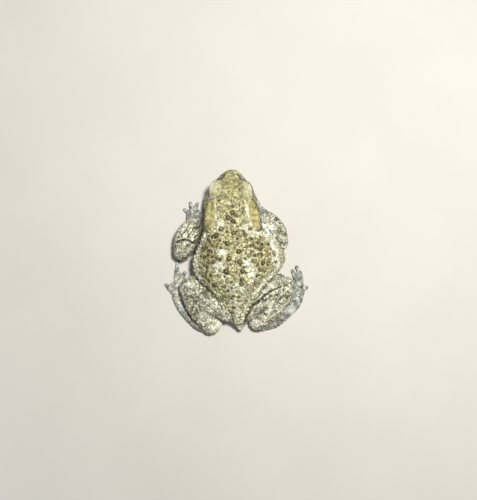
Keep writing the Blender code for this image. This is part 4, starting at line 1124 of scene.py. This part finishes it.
# painted shade: the skin is darkened where it lies below its neighbours, narrowly and over a broad stretch
cup = ((neighbourMean(points, edges) - points) * normals).sum(axis=1)
marks["hollowShade"] = relaxed(np.clip(cup / relief["hollowShade"], 0, 1), edges, 0.5, 1)
broadCup = ((relaxed(points, edges, 0.5, 16) - points) * normals).sum(axis=1)
marks["deepShade"] = relaxed(smoothStep(*relief["deepShade"], broadCup), edges, 0.5, 3)
print("warts and grain raised")


# Markings: soft masks that the skin's finish mixes

patches = {
    # x, y, half length, half width, strength
    "pale": (
        (-7.0, -0.2, 2.6, 2.0, 0.9), (-9.0, -7.6, 2.8, 2.6, 0.9), (7.2, -10.6, 2.4, 3.2, 0.9),
        (5.4, -5.8, 1.8, 2.4, 0.7), (-8.0, 13.6, 2.2, 2.6, 0.7), (4.6, 12.4, 2.0, 3.0, 0.6),
        (-6.0, -13.0, 2.4, 2.0, 0.5), (7.6, 17.6, 1.2, 4.0, 0.6), (-10.4, 17.6, 1.0, 4.0, 0.5),
        (20.6, -5.8, 2.0, 3.0, 0.9), (19.4, 3.0, 1.8, 2.6, 0.8), (-20.6, -8.5, 1.6, 2.8, 0.9),
        (11.2, 25.5, 1.5, 4.4, 0.45), (-13.4, 28.0, 1.2, 1.6, 0.45), (18.4, 12.4, 1.9, 3.4, 0.85),
        (15.5, 17.3, 2.2, 1.8, 0.5), (0.6, -32.4, 2.2, 4.4, 0.75), (1.6, -39.0, 3.2, 1.4, 0.8),
        (-7.6, -37.2, 2.8, 2.4, 0.9), (9.2, -37.0, 3.0, 2.4, 0.7), (17.2, -27.6, 2.2, 3.2, 0.55),
        (-13.6, -30.0, 3.4, 2.6, 0.5), (-23.6, -16.4, 3.4, 2.4, 0.35), (29.0, -30.6, 2.4, 4.0, 0.25),
        (-26.4, 12.0, 2.2, 4.0, 0.4), (-0.8, -26.0, 4.0, 3.4, 0.45), (1.0, -18.5, 6.0, 4.0, 0.4),
        (2.0, -26.0, 5.0, 5.0, 0.3), (22.6, -2.6, 1.6, 4.0, 0.55), (20.6, 3.0, 1.6, 3.0, 0.5),
        # the patch at -30.2, -21.0 is painted light on the left foot, which lies in the shadow of the left
        # knee
        (-30.2, -21.0, 2.8, 8.0, 0.5), (-11.0, -38.6, 3.0, 2.6, 0.8), (-15.4, -33.0, 2.6, 3.4, 0.35),
    ),
    "warm": ((15.7, 0.4, 1.8, 1.7, 1.0), (11.0, 3.6, 5.0, 3.4, 0.2), (22.6, 9.6, 2.0, 2.6, 0.3)),
    "blotch": (
        (-16.2, -21.4, 1.9, 2.2, 1.0), (20.8, -25.5, 1.2, 1.1, 1.2), (-21.5, -26.7, 1.6, 2.4, 0.9),
        (-19.4, -29.6, 1.6, 2.0, 0.6), (14.6, -29.0, 2.4, 1.6, 0.6), (24.6, -22.4, 1.4, 2.2, 0.7),
        (22.5, -36.1, 1.7, 1.2, 1.0), (27.0, -32.5, 1.6, 1.1, 0.9), (30.7, -27.0, 1.1, 1.7, 0.9),
        (20.6, 10.6, 1.9, 1.3, 0.9), (-27.3, 0.8, 2.6, 2.4, 0.45), (33.4, -12.0, 0.8, 1.6, 0.5),
        (23.4, -1.6, 1.0, 2.2, 0.4), (-18.0, -33.6, 1.2, 2.0, 0.5), (16.6, -13.4, 1.4, 1.2, 0.6),
        (20.9, -15.4, 2.0, 1.6, 0.6), (14.2, -20.9, 2.2, 0.8, 0.5), (18.9, -9.4, 1.2, 1.8, 0.35),
        (20.8, 7.3, 1.5, 1.1, 1.0), (23.4, 6.4, 1.0, 0.8, 0.7), (34.4, -18.6, 0.9, 1.6, 0.8),
        (19.2, -37.6, 1.6, 0.9, 0.8), (-26.0, -27.6, 1.0, 1.8, 0.7), (-21.8, -32.6, 1.4, 1.0, 0.7),
    ),
    "speckle": (
        (-15.0, -3.0, 6.5, 12.0, 1.0), (-12.0, -16.0, 6.0, 5.0, 0.8), (11.0, 3.0, 6.0, 4.5, 0.4),
        (16.0, -9.0, 5.0, 8.0, 0.4), (4.0, -20.0, 5.0, 5.0, 0.25), (-2.0, 14.0, 6.0, 5.0, 0.3),
    ),
}

# thin pale edges of the skin beside creases: route and half width
paleEdges = (
    (
        ((18.0, -11.2), (13.6, -17.2), (6.8, -23.8), (4.4, -28.6), (3.6, -33.4), (2.8, -36.2), (-0.6, -36.4)),
        0.55,
    ),
    (((-19.2, -12.8), (-16.0, -16.0), (-11.6, -19.4), (-8.6, -22.6)), 0.5),
    (((-10.4, -24.2), (-7.2, -27.0), (-4.4, -31.6), (-3.4, -34.6)), 0.6),
    (((-7.6, -30.4), (-4.6, -35.4), (-2.0, -38.6), (3.4, -39.4)), 0.8),
    (((19.6, -14.6), (14.6, -20.6)), 0.9),
    (((10.5, -37.4), (18.0, -33.3), (23.0, -29.6), (28.6, -24.0)), 0.9),
    # ridge of the snout above the right nostril, and the edge of the snout beside it
    (((-0.9, 40.5), (-0.5, 39.3), (1.6, 38.2), (2.8, 37.9)), 0.32),
    (((-1.6, 42.0), (0.8, 41.0), (3.4, 38.5)), 0.3),
    # inner edges of the glands
    (((4.8, 25.8), (5.4, 22.0), (6.4, 17.4), (7.0, 14.2)), 0.6),
    (((-10.9, 25.4), (-11.0, 20.6), (-11.6, 15.6)), 0.6),
)


def unevenPatches(name, level, swing, size):
    # the named patches times the level and soft noise of the given swing and size
    return blots(points, patches[name]) * (level + swing * waves(points, size, seeds[name]))


xy = points[:, :2]
pale = 1.5 * blots(points, patches["pale"]) * (normals[:, 2] > 0.2)
for route, width in paleBands:
    band = hump(routeDistance(xy, route), 1.2 * width) * smoothStep(*areas["bands"], points[:, 2])
    pale = np.maximum(pale, 1.1 * band)
for route, width in paleEdges:
    pale = np.maximum(pale, 0.9 * hump(routeDistance(xy, route), width) * (normals[:, 2] > -0.2))
pale = np.minimum(pale, 1.1) * (0.8 + 0.45 * waves(points, 1.4, seeds["pale"])) * (1 - marks["crease"])
marks["pale"] = np.clip(pale, 0, 1)
marks["hollowShade"] = marks["hollowShade"] * (1 - 0.6 * marks["pale"])
marks["warm"] = unevenPatches("warm", 0.8, 0.3, 2.0)
marks["blotch"] = unevenPatches("blotch", 0.85, 0.35, 1.8)
marks["speckle"] = blots(points, patches["speckle"])

# the low side of the left upper arm, away from the forearm that is folded on it, lies in deep shade
shadedArm = smoothStep(*areas["shadedArm"], limbDistance(points, limbs["upperArmLeft"]))
shadedArm = shadedArm * smoothStep(*areas["shadedLow"], points[:, 2])
shadedArm = shadedArm * smoothStep(*areas["apart"], limbDistance(points, limbs["forearmLeft"]))
addMark("deepShade", 0.85 * shadedArm)

marks["limb"] = limbMask
ankleReach = np.minimum(limbDistance(points, limbs["ankleLeft"]), limbDistance(points, limbs["ankleRight"]))
marks["digit"] = np.maximum(digitMask, 0.85 * smoothStep(*areas["ankle"], ankleReach))
marks["belly"] = smoothStep(*areas["lowSkin"], points[:, 2]) * (1 - limbMask)
addMark("belly", smoothStep(*areas["paleUnder"], normals[:, 2]))
marks["head"] = headMask * smoothStep(*areas["headColour"], toHead(points)[:, 1])
for side in (-1, 1):
    # the lid's outer part is smooth and light, and its edge the palest
    local = toHead(points, side) - head["lid"][0]
    onLid = smoothStep(*areas["lid"], np.linalg.norm(local / head["lid"][1], axis=1))
    aside = local[:, 0] + 0.28 * local[:, 1]
    addMark("lid", onLid * smoothStep(*areas["lidSide"], aside) * (local[:, 2] > -1.5))
    addMark("pale", 0.5 * onLid * smoothStep(*areas["lidEdge"], aside) * (local[:, 2] > -1.0))
print("markings laid out")


# The finished skin

eyeLow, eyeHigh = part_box("eye_left")
eyeMiddle = (np.array(eyeLow) + np.array(eyeHigh)) / 2 / toMetres
shift = eyeMiddle - toToad(eye["place"], -1)                # from these rows to the frame's origin
skinObject = meshObject("toadSkin", points + shift, quads, scale=toMetres)
for name, values in marks.items():
    made = skinObject.data.attributes.new(name, "FLOAT", "POINT")
    made.data.foreach_set("value", np.clip(values, 0, 1).astype(np.float32))
# back and top of the head keep all their points, so that the small marks stay sharp
keep = (normals[:, 2] > body["keepFacing"]) & (points[:, 2] > body["keepAbove"]) & (limbMask < 0.5)
freely = skinObject.vertex_groups.new(name="freely")
freely.add(np.flatnonzero(~keep).tolist(), 1.0, "REPLACE")
thin = skinObject.modifiers.new("thin", "DECIMATE")
thin.ratio = min(1.0, body["triangles"] / (2 * len(quads)))
thin.vertex_group = "freely"
thin.vertex_group_factor = 1.0
applied(skinObject)
skinObject.data.shade_smooth()
skinObject.data.calc_loop_triangles()
print("skin finished:", len(skinObject.data.loop_triangles), "triangles,", int(keep.sum()), "points kept")


# Finishes

def addNode(tree, kind, **settings):
    # a new node of the kind, with its settings
    made = tree.nodes.new(kind)
    for name, value in settings.items():
        setattr(made, name, value)
    return made


def feed(tree, socket, value):
    # a number or colour is set on the socket, another node's output is linked to it
    if isinstance(value, bpy.types.NodeSocket):
        tree.links.new(value, socket)
    else:
        socket.default_value = value


def mixColours(tree, factor, first, second):
    # the first colour at 0, the second at 1
    made = addNode(tree, "ShaderNodeMix", data_type="RGBA")
    for index, value in ((0, factor), (6, first), (7, second)):
        feed(tree, made.inputs[index], value if not isinstance(value, tuple) else (*value, 1.0))
    return made.outputs[2]


def mathNode(tree, operation, first, second=0.0):
    # one sum on numbers or on other nodes' outputs
    made = addNode(tree, "ShaderNodeMath", operation=operation)
    feed(tree, made.inputs[0], first)
    feed(tree, made.inputs[1], second)
    return made.outputs[0]


def ramp(tree, value, low, high, start=0.0, end=1.0):
    # from start to end as the value goes from low to high, with soft ends
    made = addNode(tree, "ShaderNodeMapRange", interpolation_type="SMOOTHSTEP")
    for index, item in enumerate((value, low, high, start, end)):
        feed(tree, made.inputs[index], item)
    return made.outputs[0]


def noiseNode(tree, place, size, detail=3.0, roughness=0.55):
    # size is in millimetres
    made = addNode(tree, "ShaderNodeTexNoise")
    feed(tree, made.inputs["Vector"], place)
    made.inputs["Scale"].default_value = 1 / (size * toMetres)
    made.inputs["Detail"].default_value = detail
    made.inputs["Roughness"].default_value = roughness
    return made.outputs["Fac"]


def cellNode(tree, place, size):
    # cells of about the size in millimetres: distance from a cell's middle, and its random colour
    made = addNode(tree, "ShaderNodeTexVoronoi", feature="F1")
    feed(tree, made.inputs["Vector"], place)
    made.inputs["Scale"].default_value = 1 / (size * toMetres)
    return made.outputs["Distance"], made.outputs["Color"]


def markNode(tree, name):
    # one of the marks that the skin's points carry
    return addNode(tree, "ShaderNodeAttribute", attribute_name=name).outputs["Fac"]


def newMaterial(name):
    # a material, its nodes, its shader and the place in the object that patterns read
    made = bpy.data.materials.new(name)
    made.use_nodes = True
    tree = made.node_tree
    shader = tree.nodes["Principled BSDF"]
    place = addNode(tree, "ShaderNodeTexCoord").outputs["Object"]
    return made, tree, shader, place


skinPaint = {
    "olive": (0.165, 0.148, 0.052),
    "ground": (0.52, 0.485, 0.22),
    "head": (0.43, 0.40, 0.175),
    "sand": (0.86, 0.83, 0.48),
    "granule": (0.97, 0.95, 0.66),
    # shade colours the dark specks of the back, and is painted shade in the hollows
    "shade": (0.05, 0.04, 0.014),
    "limb": (0.43, 0.42, 0.275),
    "limbLight": (0.94, 0.945, 0.74),
    "limbShade": (0.06, 0.052, 0.028),
    "digit": (0.285, 0.315, 0.27),
    "digitLight": (0.57, 0.605, 0.545),
    "digitShade": (0.12, 0.11, 0.10),
    "belly": (0.66, 0.64, 0.49),
    "gland": (0.45, 0.41, 0.185),
    "glandRim": (0.84, 0.81, 0.52),
    "lid": (0.66, 0.64, 0.41),
    "pale": (0.97, 0.97, 0.80),
    "warm": (0.28, 0.15, 0.05),
    "purple": (0.11, 0.085, 0.08),
    "brown": (0.25, 0.19, 0.095),
    # dark colours the dark marks of warts and legs, and is painted shade in broad hollows and creases
    "dark": (0.024, 0.017, 0.005),
    # painted shade in the slits of the eyes, nostrils and mouth, also laid along the head's dark lines
    "slitShade": (0.028, 0.02, 0.013),
}


# layers laid one over another: colour, share, mark that it keeps to, and pattern with its numbers
# (mottle: size, low and high level, detail; dots: size, radius, share of the cells that have one)
skinLayers = {
    "back": (
        ("sand", 0.9, None, "mottle", 2.1, 0.48, 0.57, 4.0),
        ("olive", 0.85, None, "mottle", 1.25, 0.53, 0.60, 4.0),
        ("granule", 0.75, None, "dots", 1.0, 0.46, 0.45),
        ("shade", 0.9, None, "dots", 1.4, 0.44, 0.32),
        ("shade", 0.5, "speckle", "mottle", 1.6, 0.46, 0.56, 4.0),
        ("granule", 0.9, "speckle", "dots", 1.5, 0.42, 0.55),
        ("head", 0.66, "head"),
    ),
    "leg": (
        ("limbShade", 0.9, None, "mottle", 3.2, 0.48, 0.60, 3.0),
        ("limbLight", 0.95, None, "mottle", 2.0, 0.48, 0.55, 4.0),
        ("limbShade", 0.9, None, "mottle", 1.3, 0.53, 0.60, 4.0),
        ("limbLight", 0.9, None, "dots", 1.45, 0.46, 0.42),
        ("dark", 0.8, None, "dots", 1.15, 0.42, 0.24),
    ),
    "toe": (
        ("digitLight", 0.7, None, "mottle", 1.6, 0.50, 0.60, 3.0),
        ("digitShade", 0.8, None, "mottle", 2.2, 0.47, 0.64, 3.0),
    ),
    "patches": (
        ("belly", 0.85, "belly"),
        ("lid", 0.9, "lid"),
        ("warm", 0.8, "warm"),
        ("pale", 0.95, "pale"),
        ("purple", 0.9, "blotch", "mottle", 0.9, 0.30, 0.45, 3.0),
        ("gland", 1.0, "gland"),
        ("brown", 0.6, "gland", "dots", 1.1, 0.16, 0.7),
        ("glandRim", 0.85, "rim"),
    ),
    "warts": (
        ("pale", 0.9, "knob"),
        ("brown", 0.85, "brown"),
        ("dark", 0.9, "dark"),
    ),
    # painted shade in the narrow and broad hollows of the skin, in its creases and in its slits, then the
    # head's dark lines
    "lines": (
        ("shade", 0.75, "hollowShade"),
        ("dark", 0.8, "deepShade"),
        ("dark", 0.85, "crease"),
        ("slitShade", 0.95, "line"),
        ("slitShade", 0.95, "slitShade"),
    ),
}
skinSurface = {
    "fine": (0.55, 4.0, 0.65),                              # size, detail and roughness of each noise
    "coarse": (1.6, 2.0, 0.55),
    "dull": (1.2, 3.0, 0.55),
    "fineLight": (0.78, 1.22),                              # darkest and lightest that each noise makes it
    "coarseLight": (0.60, 1.2),
    "lidCalm": 0.75,                                        # how much of that the lids are spared
    "cell": 0.5,
    "bump": 0.6,
    "bumpDepth": 0.13,
    "roughness": (0.38, 0.6),
    "specular": 0.25,
}


def skinMaterial():
    # sand, olive and cream mottles with the marks laid over them one after another
    c, s = skinPaint, skinSurface
    made, tree, shader, place = newMaterial("toadSkin")
    limb, digit = markNode(tree, "limb"), markNode(tree, "digit")

    def times(first, second):
        return mathNode(tree, "MULTIPLY", first, second)

    def mottle(size, low, high, detail):
        # soft spots: where a noise is over the high level
        return ramp(tree, noiseNode(tree, place, size, detail, 0.6), low, high)

    def dots(size, radius, chosen):
        # round spots: near the middle of a cell, in the chosen share of the cells
        distance, chance = cellNode(tree, place, size)
        parts = addNode(tree, "ShaderNodeSeparateColor")
        tree.links.new(chance, parts.inputs[0])
        picked = mathNode(tree, "LESS_THAN", parts.outputs[0], chosen)
        return times(ramp(tree, distance, radius, radius * 0.6), picked)

    patterns = {"mottle": mottle, "dots": dots}

    def layered(below, rows):
        # each row's colour over those before it: share of the way, times its mark, times its pattern
        for name, share, mark, *pattern in rows:
            masks = [patterns[pattern[0]](*pattern[1:])] if pattern else []
            masks += [markNode(tree, mark)] if mark else []
            mask = masks[0] if len(masks) == 1 else times(*masks)
            below = mixColours(tree, times(mask, share), below, c[name])
        return below

    # the back; legs and arms, greyer and lighter; hands and feet, grey
    colour = mixColours(tree, mottle(5.0, 0.40, 0.60, 3.0), c["olive"], c["ground"])
    colour = layered(mixColours(tree, 0.7, colour, c["ground"]), skinLayers["back"])
    leg = layered(mixColours(tree, 0.3, c["limb"], c["limbLight"]), skinLayers["leg"])
    toe = layered(mixColours(tree, 0.3, c["digit"], c["digitLight"]), skinLayers["toe"])
    colour = mixColours(tree, digit, mixColours(tree, limb, colour, leg), toe)
    colour = layered(colour, skinLayers["patches"])
    # pale small warts, fainter on the legs
    pale = times(markNode(tree, "light"), ramp(tree, limb, 0.0, 1.0, 0.7, 0.4))
    colour = mixColours(tree, times(pale, 0.8), colour, c["granule"])
    colour = layered(colour, skinLayers["warts"] + skinLayers["lines"])

    # darker and lighter by two sizes of noise, less so on the lids, which are smoother
    fine = noiseNode(tree, place, *s["fine"])
    bright = addNode(tree, "ShaderNodeHueSaturation")
    coarse = ramp(tree, noiseNode(tree, place, *s["coarse"]), 0.36, 0.62, *s["coarseLight"])
    uneven = times(ramp(tree, fine, 0.25, 0.75, *s["fineLight"]), coarse)
    calm = times(markNode(tree, "lid"), s["lidCalm"])
    uneven = times(uneven, mathNode(tree, "SUBTRACT", 1.0, calm))
    feed(tree, bright.inputs["Value"], mathNode(tree, "ADD", uneven, calm))
    feed(tree, bright.inputs["Color"], colour)
    tree.links.new(bright.outputs["Color"], shader.inputs["Base Color"])

    # bumps: fine cells, highest at their middles, and the finer noise
    granules = ramp(tree, cellNode(tree, place, s["cell"])[0], 0.0, 0.55, 1.0, 0.0)
    bump = addNode(tree, "ShaderNodeBump")
    bump.inputs["Strength"].default_value = s["bump"]
    bump.inputs["Distance"].default_value = s["bumpDepth"] * toMetres
    feed(tree, bump.inputs["Height"], mathNode(tree, "ADD", times(granules, 0.6), times(fine, 0.8)))
    tree.links.new(bump.outputs["Normal"], shader.inputs["Normal"])
    dull = ramp(tree, noiseNode(tree, place, *s["dull"]), 0.3, 0.7, *s["roughness"])
    feed(tree, shader.inputs["Roughness"], dull)
    shader.inputs["Specular IOR Level"].default_value = s["specular"]
    return made


eyePaint = {
    "copper": (0.80, 0.50, 0.12),
    "rust": (0.50, 0.23, 0.045),
    "fleck": (0.05, 0.016, 0.006),
    "ring": (0.70, 0.42, 0.12),                             # thin light ring round the pupil
    # shade: the dark edge of the iris, and the painted shadow under the upper lid
    "shade": (0.012, 0.008, 0.006),
    "pupil": (0.002, 0.002, 0.002),
    "pupilHalf": (0.17, 0.092),                             # half length and half height on the plane
    "copperHalf": (0.30, 0.16),
    "edgeHalf": (0.42, 0.42),
}


def eyeMaterial():
    # copper iris with dark flecks, and a level oval pupil with a light ring round it
    # u and v run forward and up across the front of the eye, 0.5 at its middle
    made, tree, shader, _ = newMaterial("toadEye")
    plane = addNode(tree, "ShaderNodeUVMap", uv_map="eyeFront").outputs["UV"]
    parts = addNode(tree, "ShaderNodeSeparateXYZ")
    tree.links.new(plane, parts.inputs[0])
    forward = mathNode(tree, "SUBTRACT", parts.outputs[0], 0.5)
    up = mathNode(tree, "SUBTRACT", parts.outputs[1], 0.5)

    def oval(length, height):
        # distance from the middle in shares of the half length and half height
        squares = []
        for value, half in ((forward, length), (up, height)):
            share = mathNode(tree, "DIVIDE", value, half)
            squares.append(mathNode(tree, "MULTIPLY", share, share))
        return mathNode(tree, "SQRT", mathNode(tree, "ADD", *squares))

    noise = addNode(tree, "ShaderNodeTexNoise")
    tree.links.new(plane, noise.inputs["Vector"])
    for name, value in (("Scale", 34.0), ("Detail", 6.0), ("Roughness", 0.7)):
        noise.inputs[name].default_value = value
    flecks = ramp(tree, noise.outputs["Fac"], 0.44, 0.58)
    c = eyePaint
    copper = mixColours(tree, ramp(tree, oval(*c["copperHalf"]), 0.7, 1.3), c["copper"], c["rust"])
    iris = mixColours(tree, flecks, c["fleck"], copper)
    pupil = oval(*c["pupilHalf"])
    iris = mixColours(tree, ramp(tree, pupil, 1.28, 1.08), iris, c["ring"])
    # darker towards the edge of the iris, and under the upper lid a painted shadow of the lid
    iris = mixColours(tree, ramp(tree, oval(*c["edgeHalf"]), 0.80, 1.0), iris, c["shade"])
    iris = mixColours(tree, ramp(tree, up, 0.20, 0.30), iris, c["shade"])
    colour = mixColours(tree, ramp(tree, pupil, 1.08, 0.98), iris, c["pupil"])
    tree.links.new(colour, shader.inputs["Base Color"])
    shader.inputs["Roughness"].default_value = 0.3
    shader.inputs["Specular IOR Level"].default_value = 0.15
    shader.inputs["Coat Weight"].default_value = 1.0
    shader.inputs["Coat Roughness"].default_value = 0.02
    return made


def eyeObject(name, side):
    # ball of latitude and longitude about the line of sight, bulging at the cornea by a bell curve
    rings, sides = 40, 64
    angle = np.linspace(0, np.pi, rings + 2)[:, None]
    turn = np.linspace(0, 2 * np.pi, sides, endpoint=False)[None, :]
    radius = eye["radius"] + eye["cornea"] * hump(angle, 0.55)
    grid = np.stack([
        radius * np.cos(angle) * np.ones_like(turn),
        radius * np.sin(angle) * np.cos(turn),
        radius * np.sin(angle) * np.sin(turn),
    ], axis=-1)
    points, quads, triangles = ringSurface(grid[1:-1], grid[0, 0], grid[-1, 0])
    flat = 0.5 + 0.5 * points[:, 1:] / eye["radius"]        # forward and up, across the front
    placed = fromEye(points, side) + shift
    # faces turned round where the mirror has them pointing in
    corner = placed[quads]
    facing = np.cross(corner[:, 1] - corner[:, 0], corner[:, 2] - corner[:, 0])
    if np.einsum("ij,ij->", corner[:, 0] - placed.mean(0), facing) < 0:
        quads, triangles = quads[:, ::-1], triangles[:, ::-1]
    made = meshObject(name, placed, quads, triangles, toMetres)
    corners = np.empty(len(made.data.loops), int)
    made.data.loops.foreach_get("vertex_index", corners)
    made.data.uv_layers.new(name="eyeFront").data.foreach_set("uv", flat[corners].astype(np.float32).ravel())
    made.data.shade_smooth()
    return made


skinObject.data.materials.append(skinMaterial())
wetEye = eyeMaterial()
eyes = {"left": eyeObject("eyeLeft", -1), "right": eyeObject("eyeRight", 1)}
for made in eyes.values():
    made.data.materials.append(wetEye)
print("finishes set")

flesh = [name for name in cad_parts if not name.startswith("eye_")]
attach(skinObject, "root")
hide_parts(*flesh)
for sideName, made in eyes.items():
    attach(made, "root")
    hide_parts("eye_" + sideName)


# Floor, lights and camera

studio = {
    "floorHalf": 700.0,
    "floorColour": (0.63, 0.61, 0.565),
    "world": (0.90, 0.93, 1.0, 0.20),
    "aim": (0.0, 0.0, 10.0),                                # where the lights point
    # place, size, watts, colour
    "key": ((95.0, 95.0, 600.0), 70.0, 4.8, (1.0, 0.98, 0.93)),
    "fill": ((-420.0, -200.0, 420.0), 420.0, 2.5, (0.95, 0.97, 1.0)),
    "rim": ((380.0, 420.0, 260.0), 300.0, 1.3, (1.0, 0.97, 0.92)),
}
view = {
    "distance": 560.0,
    "pixel": 0.516,                                         # millimetres across one picture point
    "pictureSize": (477, 500),
    "toadMiddle": (236.4, 251.6),                           # where the frame's origin shows
    "elevation": math.radians(89.0),
    "focusHeight": 14.0,
    "sensor": 36.0,
}


def makeFloor():
    # one plain square with a faint cloud of tone
    half = studio["floorHalf"]
    corners = np.array([(-half, -half, 0), (half, -half, 0), (half, half, 0), (-half, half, 0)], float)
    made = meshObject("floor", corners, np.array([[0, 1, 2, 3]]), scale=toMetres)
    finish, tree, shader, place = newMaterial("paleFloor")
    tone = ramp(tree, noiseNode(tree, place, 60.0), 0.3, 0.7)
    colour = mixColours(tree, tone, studio["floorColour"], tuple(v * 1.04 for v in studio["floorColour"]))
    tree.links.new(colour, shader.inputs["Base Color"])
    shader.inputs["Roughness"].default_value = 0.8
    made.data.materials.append(finish)


def makeLight(name, place, size, watts, colour):
    # a square area light that points at the toad
    light = bpy.data.lights.new(name, "AREA")
    light.size = size * toMetres
    light.energy = watts
    light.color = colour
    made = bpy.data.objects.new(name, light)
    made.location = [v * toMetres for v in place]
    aim = np.subtract(studio["aim"], place)
    aim = aim / np.linalg.norm(aim)
    made.rotation_euler = (math.acos(-aim[2]), 0.0, math.atan2(aim[0], -aim[1]))
    bpy.context.scene.collection.objects.link(made)


def makeCamera():
    # lens: the sensor's width times the distance, over the height that the picture shows
    width, height = view["pictureSize"]
    camera = bpy.data.cameras.new("camera")
    camera.sensor_fit = "AUTO"
    camera.sensor_width = view["sensor"]
    camera.lens = view["sensor"] * view["distance"] / (height * view["pixel"])
    made = bpy.data.objects.new("camera", camera)
    x = (width / 2 - view["toadMiddle"][0]) * view["pixel"]
    y = (view["toadMiddle"][1] - height / 2) * view["pixel"]
    back = view["distance"] * math.cos(view["elevation"])
    up = view["focusHeight"] + view["distance"] * math.sin(view["elevation"])
    made.location = [v * toMetres for v in (x, y - back, up)]
    made.rotation_euler = (math.pi / 2 - view["elevation"], 0.0, 0.0)
    bpy.context.scene.collection.objects.link(made)
    bpy.context.scene.camera = made


makeFloor()
for name in ("key", "fill", "rim"):
    makeLight(name, *studio[name])
world = bpy.data.worlds.new("studio")
world.use_nodes = True
backdrop = world.node_tree.nodes["Background"]
backdrop.inputs["Color"].default_value = (*studio["world"][:3], 1.0)
backdrop.inputs["Strength"].default_value = studio["world"][3]
bpy.context.scene.world = world
bpy.context.scene.view_settings.view_transform = "Standard"
makeCamera()
print("floor, lights and camera set")
